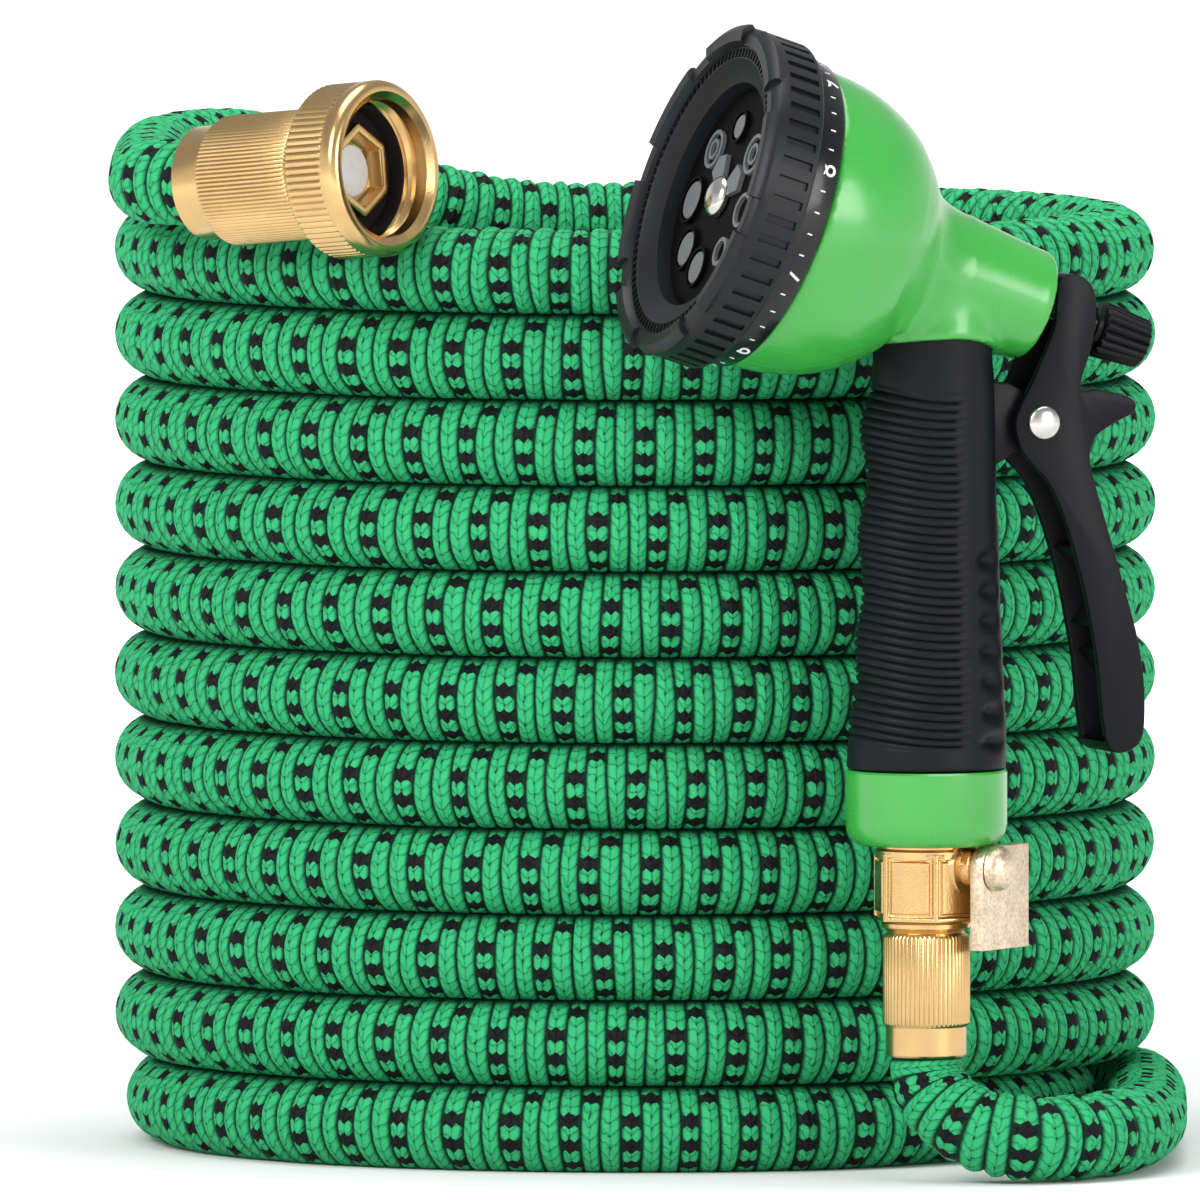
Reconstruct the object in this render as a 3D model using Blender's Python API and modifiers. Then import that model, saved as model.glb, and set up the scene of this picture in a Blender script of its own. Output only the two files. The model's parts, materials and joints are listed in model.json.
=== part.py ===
"""A coiled, fabric-sleeved garden hose with its tap coupling, shut-off valve and spray nozzle.

Metres, +Z up. Every size below is in the coil's own frame: the coil's axis is Z and its
turns lie on Z = 0. The last step moves the whole hose so that the middle of its footprint
is at the origin.
"""

import math

import bmesh
import bpy
from mathutils import Matrix, Vector

# Running and seating gaps, and how far a cutter runs past the face that it opens
GAP = 0.0003
RUN_GAP = 0.0005
CUT_PAST = 0.0020

# Hose and its coil
HOSE_DIAMETER = 0.017
COIL_RADIUS = 0.0955
COIL_TURNS = 11
COIL_STEPS = 36
FLOOR_TURN_STEPS = 58
WAIST_ANGLE = math.radians(60)
LOBE_ANGLE = math.radians(22)
COIL_END_FLAT = 0.0022
TAIL_SPACING = 0.011
TAIL_STRAIGHT = 0.0015

# Tap coupling, from the hose end to the mouth
TAP_MOUTH_INSET = 0.0467
TAP_EDGE = 0.0004
TAP_YAW = math.radians(-36.87)
TAP_TILT = math.radians(5.5)
TAP_LEAN = 0.017
TAP_COLLAR_RADIUS = 0.0113
TAP_COLLAR_LENGTH = 0.0076
TAP_SLEEVE_RADIUS = 0.013
TAP_SLEEVE_LENGTH = 0.0225
TAP_NUT_RADIUS = 0.0175
TAP_NUT_LENGTH = 0.0155
TAP_NUT_RIM = 0.0028
TAP_NUT_BACK_WALL = 0.0025
TAP_THREAD_RADIUS = 0.0136
TAP_MOUTH_CHAMFER = 0.0012
TAP_NECK_RADIUS = 0.0088
TAP_FLANGE_THICKNESS = 0.0018
TAP_HEX_RADIUS = 0.0115
TAP_HEX_LENGTH = 0.0035
TAP_HEX_ROOT = 0.0010
TAP_WATERWAY_RADIUS = 0.0042
TAP_WASHER_THICKNESS = 0.0025

# Shut-off valve, which stands under the grip
VALVE_X = 0.0574
VALVE_STANDOFF = 0.0255
VALVE_FOOT_Z = 0.0246
VALVE_COLLAR_RADIUS = 0.0080
VALVE_COLLAR_LENGTH = 0.0062
VALVE_SLEEVE_RADIUS = 0.00855
VALVE_SLEEVE_LENGTH = 0.0179
VALVE_GROOVE_LENGTH = 0.0026
VALVE_GROOVE_RADIUS = 0.0079
VALVE_HEX_RADIUS = 0.0111
VALVE_HEX_LENGTH = 0.0146
VALVE_HEX_TURN = math.radians(10)
VALVE_NECK_RADIUS = 0.0089
VALVE_NECK_LENGTH = 0.0026
VALVE_NECK_ROOT = 0.0020
VALVE_THREAD_RADIUS = 0.0126
VALVE_THREAD_LENGTH = 0.010
STEM_BEARING = math.radians(-30)
STEM_BELOW_HEX_TOP = 0.0040
STEM_BOSS_RADIUS = 0.0040
STEM_BOSS_ROOT = 0.0030
STEM_BOSS_REACH = 0.0120
LEVER_THICKNESS = 0.0030
LEVER_NEAR = 0.0043
LEVER_FAR = 0.0142
LEVER_TOP = 0.0043
LEVER_LENGTH = 0.0205
LEVER_SCREW_RADIUS = 0.0041
LEVER_SCREW_RIM = 0.0010
LEVER_SCREW_DOME = 0.0024

# Nozzle, in its own frame: X from the spray face towards the trigger, Z up from the floor
NOZZLE_YAW = math.radians(20)
COLLAR_RADIUS = 0.0160
COLLAR_HEIGHT = 0.0148
COLLAR_EDGE = 0.0009
COLLAR_BORE_DEPTH = 0.0125
GRIP_SIDES = 20
GRIP_ROOM = 0.0006
HEAD_PITCH = math.radians(19)
FACE_X = -0.0484
FACE_ABOVE_GRIP = 0.0302
DIAL_RADIUS = 0.0337
DIAL_EDGE = 0.0012
DIAL_DEPTH = 0.0111
DIAL_RIM = 0.0040
DIAL_FACE_DEPTH = 0.0030
BAND_RADIUS = 0.0322
BAND_TAPER = 0.0008
BAND_DEPTH = 0.0052
BELL_MOUTH_RADIUS = 0.0306
BELL_LENGTH = 0.0290
BELL_STEPS = 8
BELL_FULLNESS = 2.2
BELL_WAIST = 0.62
BARREL_START_RADIUS = 0.0142
BARREL_END_RADIUS = 0.0109
BARREL_LENGTH = 0.0295
BARREL_LIP = 0.0018
BARREL_LIP_DROP = 0.0012
SPINDLE_RADIUS = 0.0060
FACE_THICKNESS = 0.0035
FACE_SCREW_RADIUS = 0.0036
FACE_SCREW_HEIGHT = 0.0018
FACE_SCREW_DOME = ((0.0, 1.0), (0.6, 0.85), (1.0, 0.35), (1.0, 0.0), (0.0, 0.0))
PORT_COUNT = 8
PORT_CIRCLE_RADIUS = 0.0185
PORT_RADIUS = 0.0034
PORT_DEPTH = 0.0016

# Trigger, its pivot below the barrel's end, and the flow stem that it pulls
PIVOT_BACK = 0.0012
PIVOT_DOWN = 0.02245
PIN_RADIUS = 0.0019
PIN_HEAD_RADIUS = 0.0031
PIN_HEAD_HEIGHT = 0.0012
PIN_DOME = ((0.0, 1.0), (0.7, 0.75), (1.0, 0.0))
TRIGGER_WIDTH = 0.016
TRIGGER_WALL = 0.0021
BRACKET_WIDTH = 0.0098
ROD_RADIUS = 0.0015
ROD_SLOT_RADIUS = 0.0031
ROD_INTO_KNOB = 0.0063
KNOB_RADIUS = 0.0057
KNOB_END_RADIUS = 0.0048
KNOB_LENGTH = 0.0105
KNOB_EDGE = 0.0009
KNOB_HUB_RADIUS = 0.0036
KNOB_HUB_LENGTH = 0.0016
KNOB_PAST_BARREL = 0.0136

# The grip's stations: height above the collar, half depth, half width and forward shift
GRIP_STATIONS = (
    (0.0000, 0.0158, 0.0150, 0.0000),
    (0.0100, 0.0157, 0.0146, 0.0002),
    (0.0170, 0.0147, 0.0140, 0.0008),
    (0.0250, 0.0148, 0.0136, 0.0004),
    (0.0360, 0.0137, 0.0130, 0.0010),
    (0.0460, 0.0142, 0.0127, 0.0003),
    (0.0580, 0.0129, 0.0122, 0.0010),
    (0.0675, 0.0137, 0.0120, 0.0002),
    (0.0770, 0.0122, 0.0117, 0.0014),
    (0.0850, 0.0116, 0.0113, 0.0014),
)

# Sizes that follow from the ones above
HOSE_RADIUS = HOSE_DIAMETER / 2
RING_TURNS = COIL_TURNS - 1
RING_BOTTOM = HOSE_DIAMETER + GAP
RING_TOP = COIL_TURNS * HOSE_DIAMETER
TAP_MOUTH_X = TAP_MOUTH_INSET - COIL_RADIUS
TAP_SLEEVE_TOP = TAP_COLLAR_LENGTH + TAP_SLEEVE_LENGTH
TAP_LENGTH = TAP_SLEEVE_TOP + RUN_GAP + TAP_NUT_LENGTH
VALVE_Y = -(COIL_RADIUS + VALVE_STANDOFF)
SLEEVE_TOP_Z = VALVE_FOOT_Z + VALVE_COLLAR_LENGTH + VALVE_SLEEVE_LENGTH
HEX_FOOT_Z = SLEEVE_TOP_Z + VALVE_GROOVE_LENGTH + GAP
HEX_TOP_Z = HEX_FOOT_Z + VALVE_HEX_LENGTH
STEM_Z = HEX_TOP_Z - STEM_BELOW_HEX_TOP
COLLAR_FOOT_Z = HEX_TOP_Z + GAP
COLLAR_TOP_Z = COLLAR_FOOT_Z + COLLAR_HEIGHT
GRIP_FOOT_Z = COLLAR_TOP_Z + GAP
GRIP_TOP_Z = GRIP_FOOT_Z + GRIP_STATIONS[-1][0]
FACE_Z = GRIP_TOP_Z + FACE_ABOVE_GRIP
BAND_START = DIAL_DEPTH + GAP
BELL_START = BAND_START + BAND_DEPTH + GAP
BARREL_START = BELL_START + BELL_LENGTH
BARREL_END = BARREL_START + BARREL_LENGTH
PIVOT_X = FACE_X + BARREL_END * math.cos(HEAD_PITCH) - PIVOT_BACK
PIVOT_Z = FACE_Z - BARREL_END * math.sin(HEAD_PITCH) - PIVOT_DOWN
KNOB_START = BARREL_END + KNOB_PAST_BARREL
KNOB_END = KNOB_START + KNOB_LENGTH
ROD_END = KNOB_START + ROD_INTO_KNOB

# The trigger's side outline and the hollow between its walls, about the pivot
TRIGGER_OUTLINE = (
    (0.0039, 0.0288), (0.0085, 0.0286), (0.0111, 0.0247), (0.0106, 0.0162),
    (0.0079, 0.0068), (0.0118, 0.0064), (0.0186, 0.0045), (0.0192, 0.0018),
    (0.0148, -0.0005), (0.0109, -0.0033), (0.0099, -0.0073), (0.0113, -0.0133),
    (0.0144, -0.0236), (0.0190, -0.0391), (0.0209, -0.0479), (0.0215, -0.0568),
    (0.0207, -0.0632), (0.0171, -0.0656), (0.0139, -0.0643), (0.0125, -0.0578),
    (0.0115, -0.0478), (0.0097, -0.0378), (0.0076, -0.0288), (0.0046, -0.0193),
    (0.0011, -0.0118), (-0.0041, -0.0060), (-0.0058, -0.0003), (-0.0045, 0.0037),
    (-0.0012, 0.0102), (0.0023, 0.0187), (0.0029, 0.0242),
)
TRIGGER_HOLLOW = (
    (0.0084, 0.0262), (0.0088, 0.0244), (0.0083, 0.0164), (0.0054, 0.0070),
    (0.0060, -0.0012), (0.0076, -0.0068), (0.0089, -0.0133), (0.0120, -0.0242),
    (0.0166, -0.0396), (0.0185, -0.0482), (0.0191, -0.0568), (0.0185, -0.0617),
    (0.0168, -0.0630), (-0.0150, -0.0630), (-0.0150, 0.0262),
)
BRACKET_OUTLINE = (
    (-0.0155, 0.0085), (-0.0060, 0.0078), (0.0010, 0.0042), (0.0036, 0.0012),
    (0.0030, -0.0024), (-0.0008, -0.0040), (-0.0052, -0.0062), (-0.0155, -0.0125),
)

# The floor turn's centreline radius at each bearing, clockwise from where it lands at the back
FLOOR_TURN_KEYS = (
    (98, 0.0838), (5, 0.0838), (-30, 0.0870), (-70, 0.0955), (-120, 0.0955),
    (-180, 0.0932), (-210, 0.0972), (-240, 0.1018), (-360, 0.1018),
)
VALVE_TAIL_ROUTE = (
    (0.1016, -0.0200, 0.0085), (0.1014, -0.0450, 0.0085), (0.1008, -0.0720, 0.0085),
    (0.0978, -0.0960, 0.0085), (0.0900, -0.1155, 0.0085), (0.0792, -0.1258, 0.0086),
    (0.0690, -0.1268, 0.0101), (0.0618, -0.1240, 0.0138), (0.0583, -0.1217, 0.0184),
)
TAP_TAIL_ROUTE = (
    (-0.0918, -0.0702, 0.1949), (-0.0952, -0.0632, 0.1946), (-0.0963, -0.0559, 0.1945),
    (-0.0964, -0.0450, 0.1947), (-0.0964, -0.0340, 0.1951), (-0.0962, -0.0230, 0.1955),
    (-0.0960, -0.0120, 0.1958), (-0.0957, -0.0010, 0.1958),
)
TAP_TAIL_BEARINGS = (172, 161, 150)


def material(name, colour, roughness, metallic=0.0):
    made = bpy.data.materials.new(name)
    made.use_nodes = True
    shader = made.node_tree.nodes["Principled BSDF"]
    shader.inputs["Base Color"].default_value = (*colour, 1.0)
    shader.inputs["Roughness"].default_value = roughness
    shader.inputs["Metallic"].default_value = metallic
    made.diffuse_color = (*colour, 1.0)
    return made


def collection(name):
    made = bpy.data.collections.new(name)
    bpy.context.scene.collection.children.link(made)
    return made


def empty(name, place, parent=None):
    """A frame that pieces hang on; place is a matrix in its parent's frame."""
    made = bpy.data.objects.new(name, None)
    made.empty_display_size = 0.01
    made.parent = parent
    made.matrix_local = place
    parts.objects.link(made)
    return made


def piece(name, data, finish, parent, place=None):
    made = bpy.data.objects.new(name, data)
    made.parent = parent
    if place is not None:
        made.matrix_local = place
    data.materials.append(finish)
    parts.objects.link(made)
    return made


def cutter(name, mesh, parent, place=None):
    made = bpy.data.objects.new(name, mesh)
    made.parent = parent
    if place is not None:
        made.matrix_local = place
    made.hide_render = True
    made.display_type = "WIRE"
    cutters.objects.link(made)
    return made


def boolean(target, tool, operation="DIFFERENCE"):
    change = target.modifiers.new(tool.name, "BOOLEAN")
    change.operation = operation
    change.solver = "EXACT"
    change.object = tool


def profile_mesh(name, points, closed):
    """Edges in the XZ plane, ready for a Screw modifier."""
    mesh = bpy.data.meshes.new(name)
    count = len(points)
    last = count if closed else count - 1
    edges = [(i, (i + 1) % count) for i in range(last)]
    mesh.from_pydata([(x, 0.0, z) for x, z in points], edges, [])
    return mesh


def turned(name, points, finish, parent, steps=32, closed=False, place=None):
    """A turned piece about its own Z; a closed profile leaves a bore."""
    made = piece(name, profile_mesh(name, points, closed), finish, parent, place)
    screw = made.modifiers.new("turn", "SCREW")
    screw.axis = "Z"
    screw.steps = steps
    screw.render_steps = steps
    screw.use_merge_vertices = True
    screw.merge_threshold = 0.00001
    screw.use_smooth_shade = True
    return made


def prism_mesh(name, outline, width):
    """A flat outline in XZ, made solid to this width along Y."""
    shape = bmesh.new()
    corners = [shape.verts.new((x, -width / 2, z)) for x, z in outline]
    face = shape.faces.new(corners)
    swept = bmesh.ops.extrude_face_region(shape, geom=[face])
    moved = [item for item in swept["geom"] if isinstance(item, bmesh.types.BMVert)]
    bmesh.ops.translate(shape, verts=moved, vec=(0.0, width, 0.0))
    bmesh.ops.recalc_face_normals(shape, faces=shape.faces)
    mesh = bpy.data.meshes.new(name)
    shape.to_mesh(mesh)
    shape.free()
    return mesh


def cylinder_mesh(name, radius, low, high, sides=24, end_radius=None):
    """A cylinder or cone along Z between two heights."""
    shape = bmesh.new()
    bmesh.ops.create_cone(
        shape,
        cap_ends=True,
        segments=sides,
        radius1=radius,
        radius2=radius if end_radius is None else end_radius,
        depth=high - low,
        matrix=Matrix.Translation((0.0, 0.0, (low + high) / 2)),
    )
    mesh = bpy.data.meshes.new(name)
    shape.to_mesh(mesh)
    shape.free()
    return mesh


def smooth_route(points, spacing):
    """Points on a Catmull-Rom curve through the route's own points."""
    route = [Vector(point) for point in points]
    padded = [2 * route[0] - route[1], *route, 2 * route[-1] - route[-2]]
    out = []
    for before, start, end, after in zip(padded, padded[1:], padded[2:], padded[3:]):
        count = max(1, round((end - start).length / spacing))
        for step in range(count):
            t = step / count
            out.append(
                0.5
                * (
                    2 * start
                    + (end - before) * t
                    + (2 * before - 5 * start + 4 * end - after) * t * t
                    + (3 * start - before - 3 * end + after) * t * t * t
                )
            )
    out.append(route[-1])
    return out


def tube(name, points, radius, finish, parent):
    curve = bpy.data.curves.new(name, "CURVE")
    curve.dimensions = "3D"
    curve.bevel_depth = radius
    curve.bevel_resolution = 4
    curve.use_fill_caps = True
    spline = curve.splines.new("POLY")
    spline.points.add(len(points) - 1)
    for spot, point in zip(spline.points, points):
        spot.co = (*point, 1.0)
    return piece(name, curve, finish, parent)


def on_circle(radius, bearing, height):
    angle = math.radians(bearing)
    return Vector((radius * math.cos(angle), radius * math.sin(angle), height))


def between_keys(keys, value):
    """Eased interpolation down a list of (place, size) keys."""
    for (start, low), (end, high) in zip(keys, keys[1:]):
        if value >= end:
            share = (start - value) / (start - end)
            eased = share * share * (3 - 2 * share)
            return low + (high - low) * eased
    return keys[-1][1]


def hose_coil():
    """The wound turns above the floor turn: one ring whose faces show each turn."""
    lobe = HOSE_RADIUS / math.cos(LOBE_ANGLE)
    outer = [(COIL_END_FLAT, RING_TOP)]
    for turn in range(RING_TURNS):
        middle = RING_TOP - HOSE_RADIUS - turn * HOSE_DIAMETER
        for angle, reach in (
            (WAIST_ANGLE, HOSE_RADIUS),
            (LOBE_ANGLE, lobe),
            (-LOBE_ANGLE, lobe),
            (-WAIST_ANGLE, HOSE_RADIUS),
        ):
            outer.append((reach * math.cos(angle), middle + reach * math.sin(angle)))
    outer.append((COIL_END_FLAT, RING_BOTTOM))
    profile = [(COIL_RADIUS + width, z) for width, z in outer]
    profile += [(COIL_RADIUS - width, z) for width, z in reversed(outer)]
    return turned("hose_coil", profile, hose_green, stand, COIL_STEPS, closed=True)


def hose_floor_turn():
    """The lowest turn, then the tail that leaves it and climbs into the valve's ferrule."""
    start = FLOOR_TURN_KEYS[0][0]
    sweep = start - FLOOR_TURN_KEYS[-1][0]
    turn = []
    for step in range(FLOOR_TURN_STEPS):
        bearing = start - sweep * step / FLOOR_TURN_STEPS
        turn.append(on_circle(between_keys(FLOOR_TURN_KEYS, bearing), bearing, HOSE_RADIUS))
    end = Vector((VALVE_X, VALVE_Y, VALVE_FOOT_Z - GAP))
    tail = [on_circle(FLOOR_TURN_KEYS[-1][1], 0, HOSE_RADIUS), *VALVE_TAIL_ROUTE]
    straight = Vector((0.0, 0.0, TAIL_STRAIGHT))
    points = turn + smooth_route([*tail, end - straight, end], TAIL_SPACING)
    return tube("hose_floor_turn", points, HOSE_RADIUS, hose_green, stand)


def tap_place():
    """The coupling's frame: Z runs from the hose end to the mouth; the nut's back rests on the coil."""
    across = Vector((math.sin(TAP_YAW), -math.cos(TAP_YAW), 0.0))
    along = Vector((math.cos(TAP_YAW), math.sin(TAP_YAW), 0.0))
    nearest = (COIL_RADIUS + TAP_LEAN) * across
    mouth_run = (TAP_MOUTH_X - nearest.x) / along.x
    axis = along * math.cos(TAP_TILT) + Vector((0.0, 0.0, math.sin(TAP_TILT)))
    from_rest = TAP_NUT_LENGTH - TAP_NUT_RIM
    rest_run = mouth_run - from_rest * math.cos(TAP_TILT)
    rest = nearest + along * rest_run
    contact = TAP_NUT_RADIUS + HOSE_RADIUS + GAP
    rest.z = RING_TOP - HOSE_RADIUS + math.sqrt(contact**2 - (rest.length - COIL_RADIUS) ** 2)
    mouth = rest + axis * from_rest
    turn = axis.to_track_quat("Z", "Y").to_matrix().to_4x4()
    return Matrix.Translation(mouth - axis * TAP_LENGTH) @ turn


def hose_tap_end():
    """The tail on top of the coil, from the last whole turn to the tap coupling."""
    place = tap_place()
    axis = place.to_3x3() @ Vector((0.0, 0.0, 1.0))
    end = place.translation - axis * GAP
    rest = RING_TOP + GAP + HOSE_RADIUS
    points = [end, end - axis * TAIL_STRAIGHT, *TAP_TAIL_ROUTE]
    points += [on_circle(COIL_RADIUS, bearing, rest) for bearing in TAP_TAIL_BEARINGS]
    return tube(
        "hose_tap_end", smooth_route(points, TAIL_SPACING), HOSE_RADIUS, hose_green, stand
    )


def tap_coupling(frame):
    """The crimped ferrule, the captive tail with its washer, and the swivel nut around it."""
    turned(
        "tap_ferrule",
        (
            (TAP_WATERWAY_RADIUS, TAP_SLEEVE_TOP),
            (TAP_SLEEVE_RADIUS - TAP_EDGE, TAP_SLEEVE_TOP),
            (TAP_SLEEVE_RADIUS, TAP_SLEEVE_TOP - TAP_EDGE),
            (TAP_SLEEVE_RADIUS, TAP_COLLAR_LENGTH + TAP_EDGE),
            (TAP_SLEEVE_RADIUS - TAP_EDGE, TAP_COLLAR_LENGTH),
            (TAP_COLLAR_RADIUS, TAP_COLLAR_LENGTH),
            (TAP_COLLAR_RADIUS, 0.0),
            (TAP_WATERWAY_RADIUS, 0.0),
        ),
        brass,
        frame,
        closed=True,
    )
    nut_foot = TAP_SLEEVE_TOP + RUN_GAP
    nut_top = nut_foot + TAP_NUT_LENGTH
    turned(
        "tap_swivel_nut",
        (
            (TAP_THREAD_RADIUS + TAP_MOUTH_CHAMFER, nut_top),
            (TAP_NUT_RADIUS - TAP_EDGE, nut_top),
            (TAP_NUT_RADIUS, nut_top - TAP_EDGE),
            (TAP_NUT_RADIUS, nut_foot + TAP_NUT_RIM),
            (TAP_NUT_RADIUS - TAP_NUT_RIM, nut_foot),
            (TAP_NECK_RADIUS + RUN_GAP, nut_foot),
            (TAP_NECK_RADIUS + RUN_GAP, nut_foot + TAP_NUT_BACK_WALL),
            (TAP_THREAD_RADIUS, nut_foot + TAP_NUT_BACK_WALL),
            (TAP_THREAD_RADIUS, nut_top - TAP_MOUTH_CHAMFER),
        ),
        brass,
        frame,
        closed=True,
    )
    seat = nut_foot + TAP_NUT_BACK_WALL + RUN_GAP
    flange_top = seat + TAP_FLANGE_THICKNESS
    insert = turned(
        "tap_insert",
        (
            (0.0, flange_top),
            (TAP_THREAD_RADIUS - RUN_GAP, flange_top),
            (TAP_THREAD_RADIUS - RUN_GAP, seat),
            (TAP_NECK_RADIUS, seat),
            (TAP_NECK_RADIUS, TAP_SLEEVE_TOP + GAP),
            (0.0, TAP_SLEEVE_TOP + GAP),
        ),
        brass,
        frame,
    )
    hex_foot = flange_top - TAP_HEX_ROOT
    hexagon = cutter(
        "tap_hex",
        cylinder_mesh("tap_hex", TAP_HEX_RADIUS, hex_foot, flange_top + TAP_HEX_LENGTH, 6),
        frame,
    )
    waterway = cutter(
        "tap_waterway",
        cylinder_mesh("tap_waterway", TAP_WATERWAY_RADIUS, 0.0, TAP_LENGTH, 32),
        frame,
    )
    boolean(insert, hexagon, "UNION")
    boolean(insert, waterway)
    turned(
        "tap_washer",
        (
            (TAP_HEX_RADIUS + GAP, flange_top + GAP + TAP_WASHER_THICKNESS),
            (TAP_THREAD_RADIUS - GAP, flange_top + GAP + TAP_WASHER_THICKNESS),
            (TAP_THREAD_RADIUS - GAP, flange_top + GAP),
            (TAP_HEX_RADIUS + GAP, flange_top + GAP),
        ),
        black_rubber,
        frame,
        closed=True,
    )


def shut_off_valve(frame):
    """The ferrule on the hose's other end, the valve body over it, and its lever."""
    groove_top = SLEEVE_TOP_Z + VALVE_GROOVE_LENGTH / 2
    turned(
        "valve_ferrule",
        (
            (0.0, HEX_FOOT_Z - GAP),
            (VALVE_SLEEVE_RADIUS, HEX_FOOT_Z - GAP),
            (VALVE_SLEEVE_RADIUS, groove_top),
            (VALVE_GROOVE_RADIUS, groove_top),
            (VALVE_GROOVE_RADIUS, SLEEVE_TOP_Z),
            (VALVE_SLEEVE_RADIUS, SLEEVE_TOP_Z),
            (VALVE_SLEEVE_RADIUS, VALVE_FOOT_Z + VALVE_COLLAR_LENGTH),
            (VALVE_COLLAR_RADIUS, VALVE_FOOT_Z + VALVE_COLLAR_LENGTH),
            (VALVE_COLLAR_RADIUS, VALVE_FOOT_Z),
            (0.0, VALVE_FOOT_Z),
        ),
        brass,
        frame,
    )
    body = piece(
        "valve_body",
        cylinder_mesh("valve_body", VALVE_HEX_RADIUS, HEX_FOOT_Z, HEX_TOP_Z - VALVE_NECK_LENGTH, 6),
        brass,
        frame,
        Matrix.Rotation(VALVE_HEX_TURN, 4, "Z"),
    )
    neck_foot = HEX_FOOT_Z + VALVE_NECK_ROOT
    neck_top = COLLAR_FOOT_Z + VALVE_NECK_ROOT
    neck = cutter(
        "valve_neck",
        cylinder_mesh("valve_neck", VALVE_NECK_RADIUS, neck_foot, neck_top, 32),
        frame,
    )
    thread = cutter(
        "valve_thread",
        cylinder_mesh(
            "valve_thread",
            VALVE_THREAD_RADIUS,
            COLLAR_FOOT_Z + RUN_GAP,
            COLLAR_FOOT_Z + RUN_GAP + VALVE_THREAD_LENGTH,
            32,
        ),
        frame,
    )
    boss = cutter(
        "stem_boss",
        cylinder_mesh("stem_boss", STEM_BOSS_RADIUS, STEM_BOSS_ROOT, STEM_BOSS_REACH, 24),
        lever_frame,
    )
    boolean(body, neck, "UNION")
    boolean(body, thread, "UNION")
    boolean(body, boss, "UNION")
    lever_foot = STEM_BOSS_REACH + GAP
    outline = [
        (-LEVER_NEAR, LEVER_TOP - LEVER_LENGTH),
        (LEVER_FAR, LEVER_TOP - LEVER_LENGTH),
        (LEVER_FAR, LEVER_TOP),
    ]
    for step in range(7):
        angle = math.pi / 2 + step * math.pi / 12
        outline.append((LEVER_NEAR * math.cos(angle), LEVER_TOP * math.sin(angle)))
    plate = prism_mesh("valve_lever", outline, LEVER_THICKNESS)
    upright = Matrix(
        ((1, 0, 0, 0), (0, 0, 1, 0), (0, -1, 0, lever_foot + LEVER_THICKNESS / 2), (0, 0, 0, 1))
    )
    piece("valve_lever", plate, lever_metal, lever_frame, upright)
    screw_foot = lever_foot + LEVER_THICKNESS + GAP
    dome_foot = screw_foot + LEVER_SCREW_RIM
    dome = [(0.0, dome_foot + LEVER_SCREW_DOME)]
    for step in range(1, 6):
        angle = math.radians(90 - 18 * step)
        dome.append(
            (LEVER_SCREW_RADIUS * math.cos(angle), dome_foot + LEVER_SCREW_DOME * math.sin(angle))
        )
    dome.append((LEVER_SCREW_RADIUS, screw_foot))
    dome.append((0.0, screw_foot))
    turned("lever_screw", dome, lever_metal, lever_frame, 24)


def lofted(name, sections, finish, parent):
    """A solid bridged between ring sections, capped at both ends."""
    shape = bmesh.new()
    loops = []
    for half_depth, half_width, shift, height in sections:
        ring = bmesh.ops.create_circle(shape, segments=GRIP_SIDES, radius=1.0)["verts"]
        for corner in ring:
            corner.co = Vector(
                (corner.co.x * half_depth + shift, corner.co.y * half_width, height)
            )
        loops.append([edge for edge in shape.edges if all(v in ring for v in edge.verts)])
    for lower, upper in zip(loops, loops[1:]):
        bmesh.ops.bridge_loops(shape, edges=lower + upper)
    bmesh.ops.holes_fill(shape, edges=loops[0] + loops[-1], sides=0)
    bmesh.ops.recalc_face_normals(shape, faces=shape.faces)
    mesh = bpy.data.meshes.new(name)
    shape.to_mesh(mesh)
    shape.free()
    return piece(name, mesh, finish, parent)


def nozzle_body(frame, head):
    """The green bell and barrel, moulded in one, with the spindle that the dial turns on."""
    spindle_end = DIAL_FACE_DEPTH + FACE_THICKNESS + RUN_GAP
    bell = [
        (0.0, -spindle_end),
        (SPINDLE_RADIUS, -spindle_end),
        (SPINDLE_RADIUS, -BELL_START),
        (BELL_MOUTH_RADIUS, -BELL_START),
    ]
    for step in range(1, BELL_STEPS + 1):
        share = step / BELL_STEPS
        drop = 1 - (1 - share**BELL_FULLNESS) ** BELL_WAIST
        radius = BELL_MOUTH_RADIUS + (BARREL_START_RADIUS - BELL_MOUTH_RADIUS) * drop
        bell.append((radius, -(BELL_START + BELL_LENGTH * share)))
    bell.append((BARREL_END_RADIUS, -(BARREL_END - BARREL_LIP)))
    bell.append((BARREL_END_RADIUS - BARREL_LIP_DROP, -BARREL_END))
    bell.append((0.0, -BARREL_END))
    body = turned("nozzle_body", bell, nozzle_green, head, 32)
    bore_end = -(BARREL_END + CUT_PAST)
    bore = cutter(
        "stem_bore",
        cylinder_mesh("stem_bore", ROD_RADIUS + RUN_GAP, bore_end, -BARREL_START, 16),
        head,
    )
    _, grip_depth, _, grip_shift = GRIP_STATIONS[-1]
    grip_room = cutter(
        "grip_room",
        cylinder_mesh("grip_room", grip_depth + GRIP_ROOM, GRIP_FOOT_Z, GRIP_TOP_Z + GAP, 32),
        frame,
        Matrix.Translation((grip_shift, 0.0, 0.0)),
    )
    boolean(body, bore)
    boolean(body, grip_room)


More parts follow.
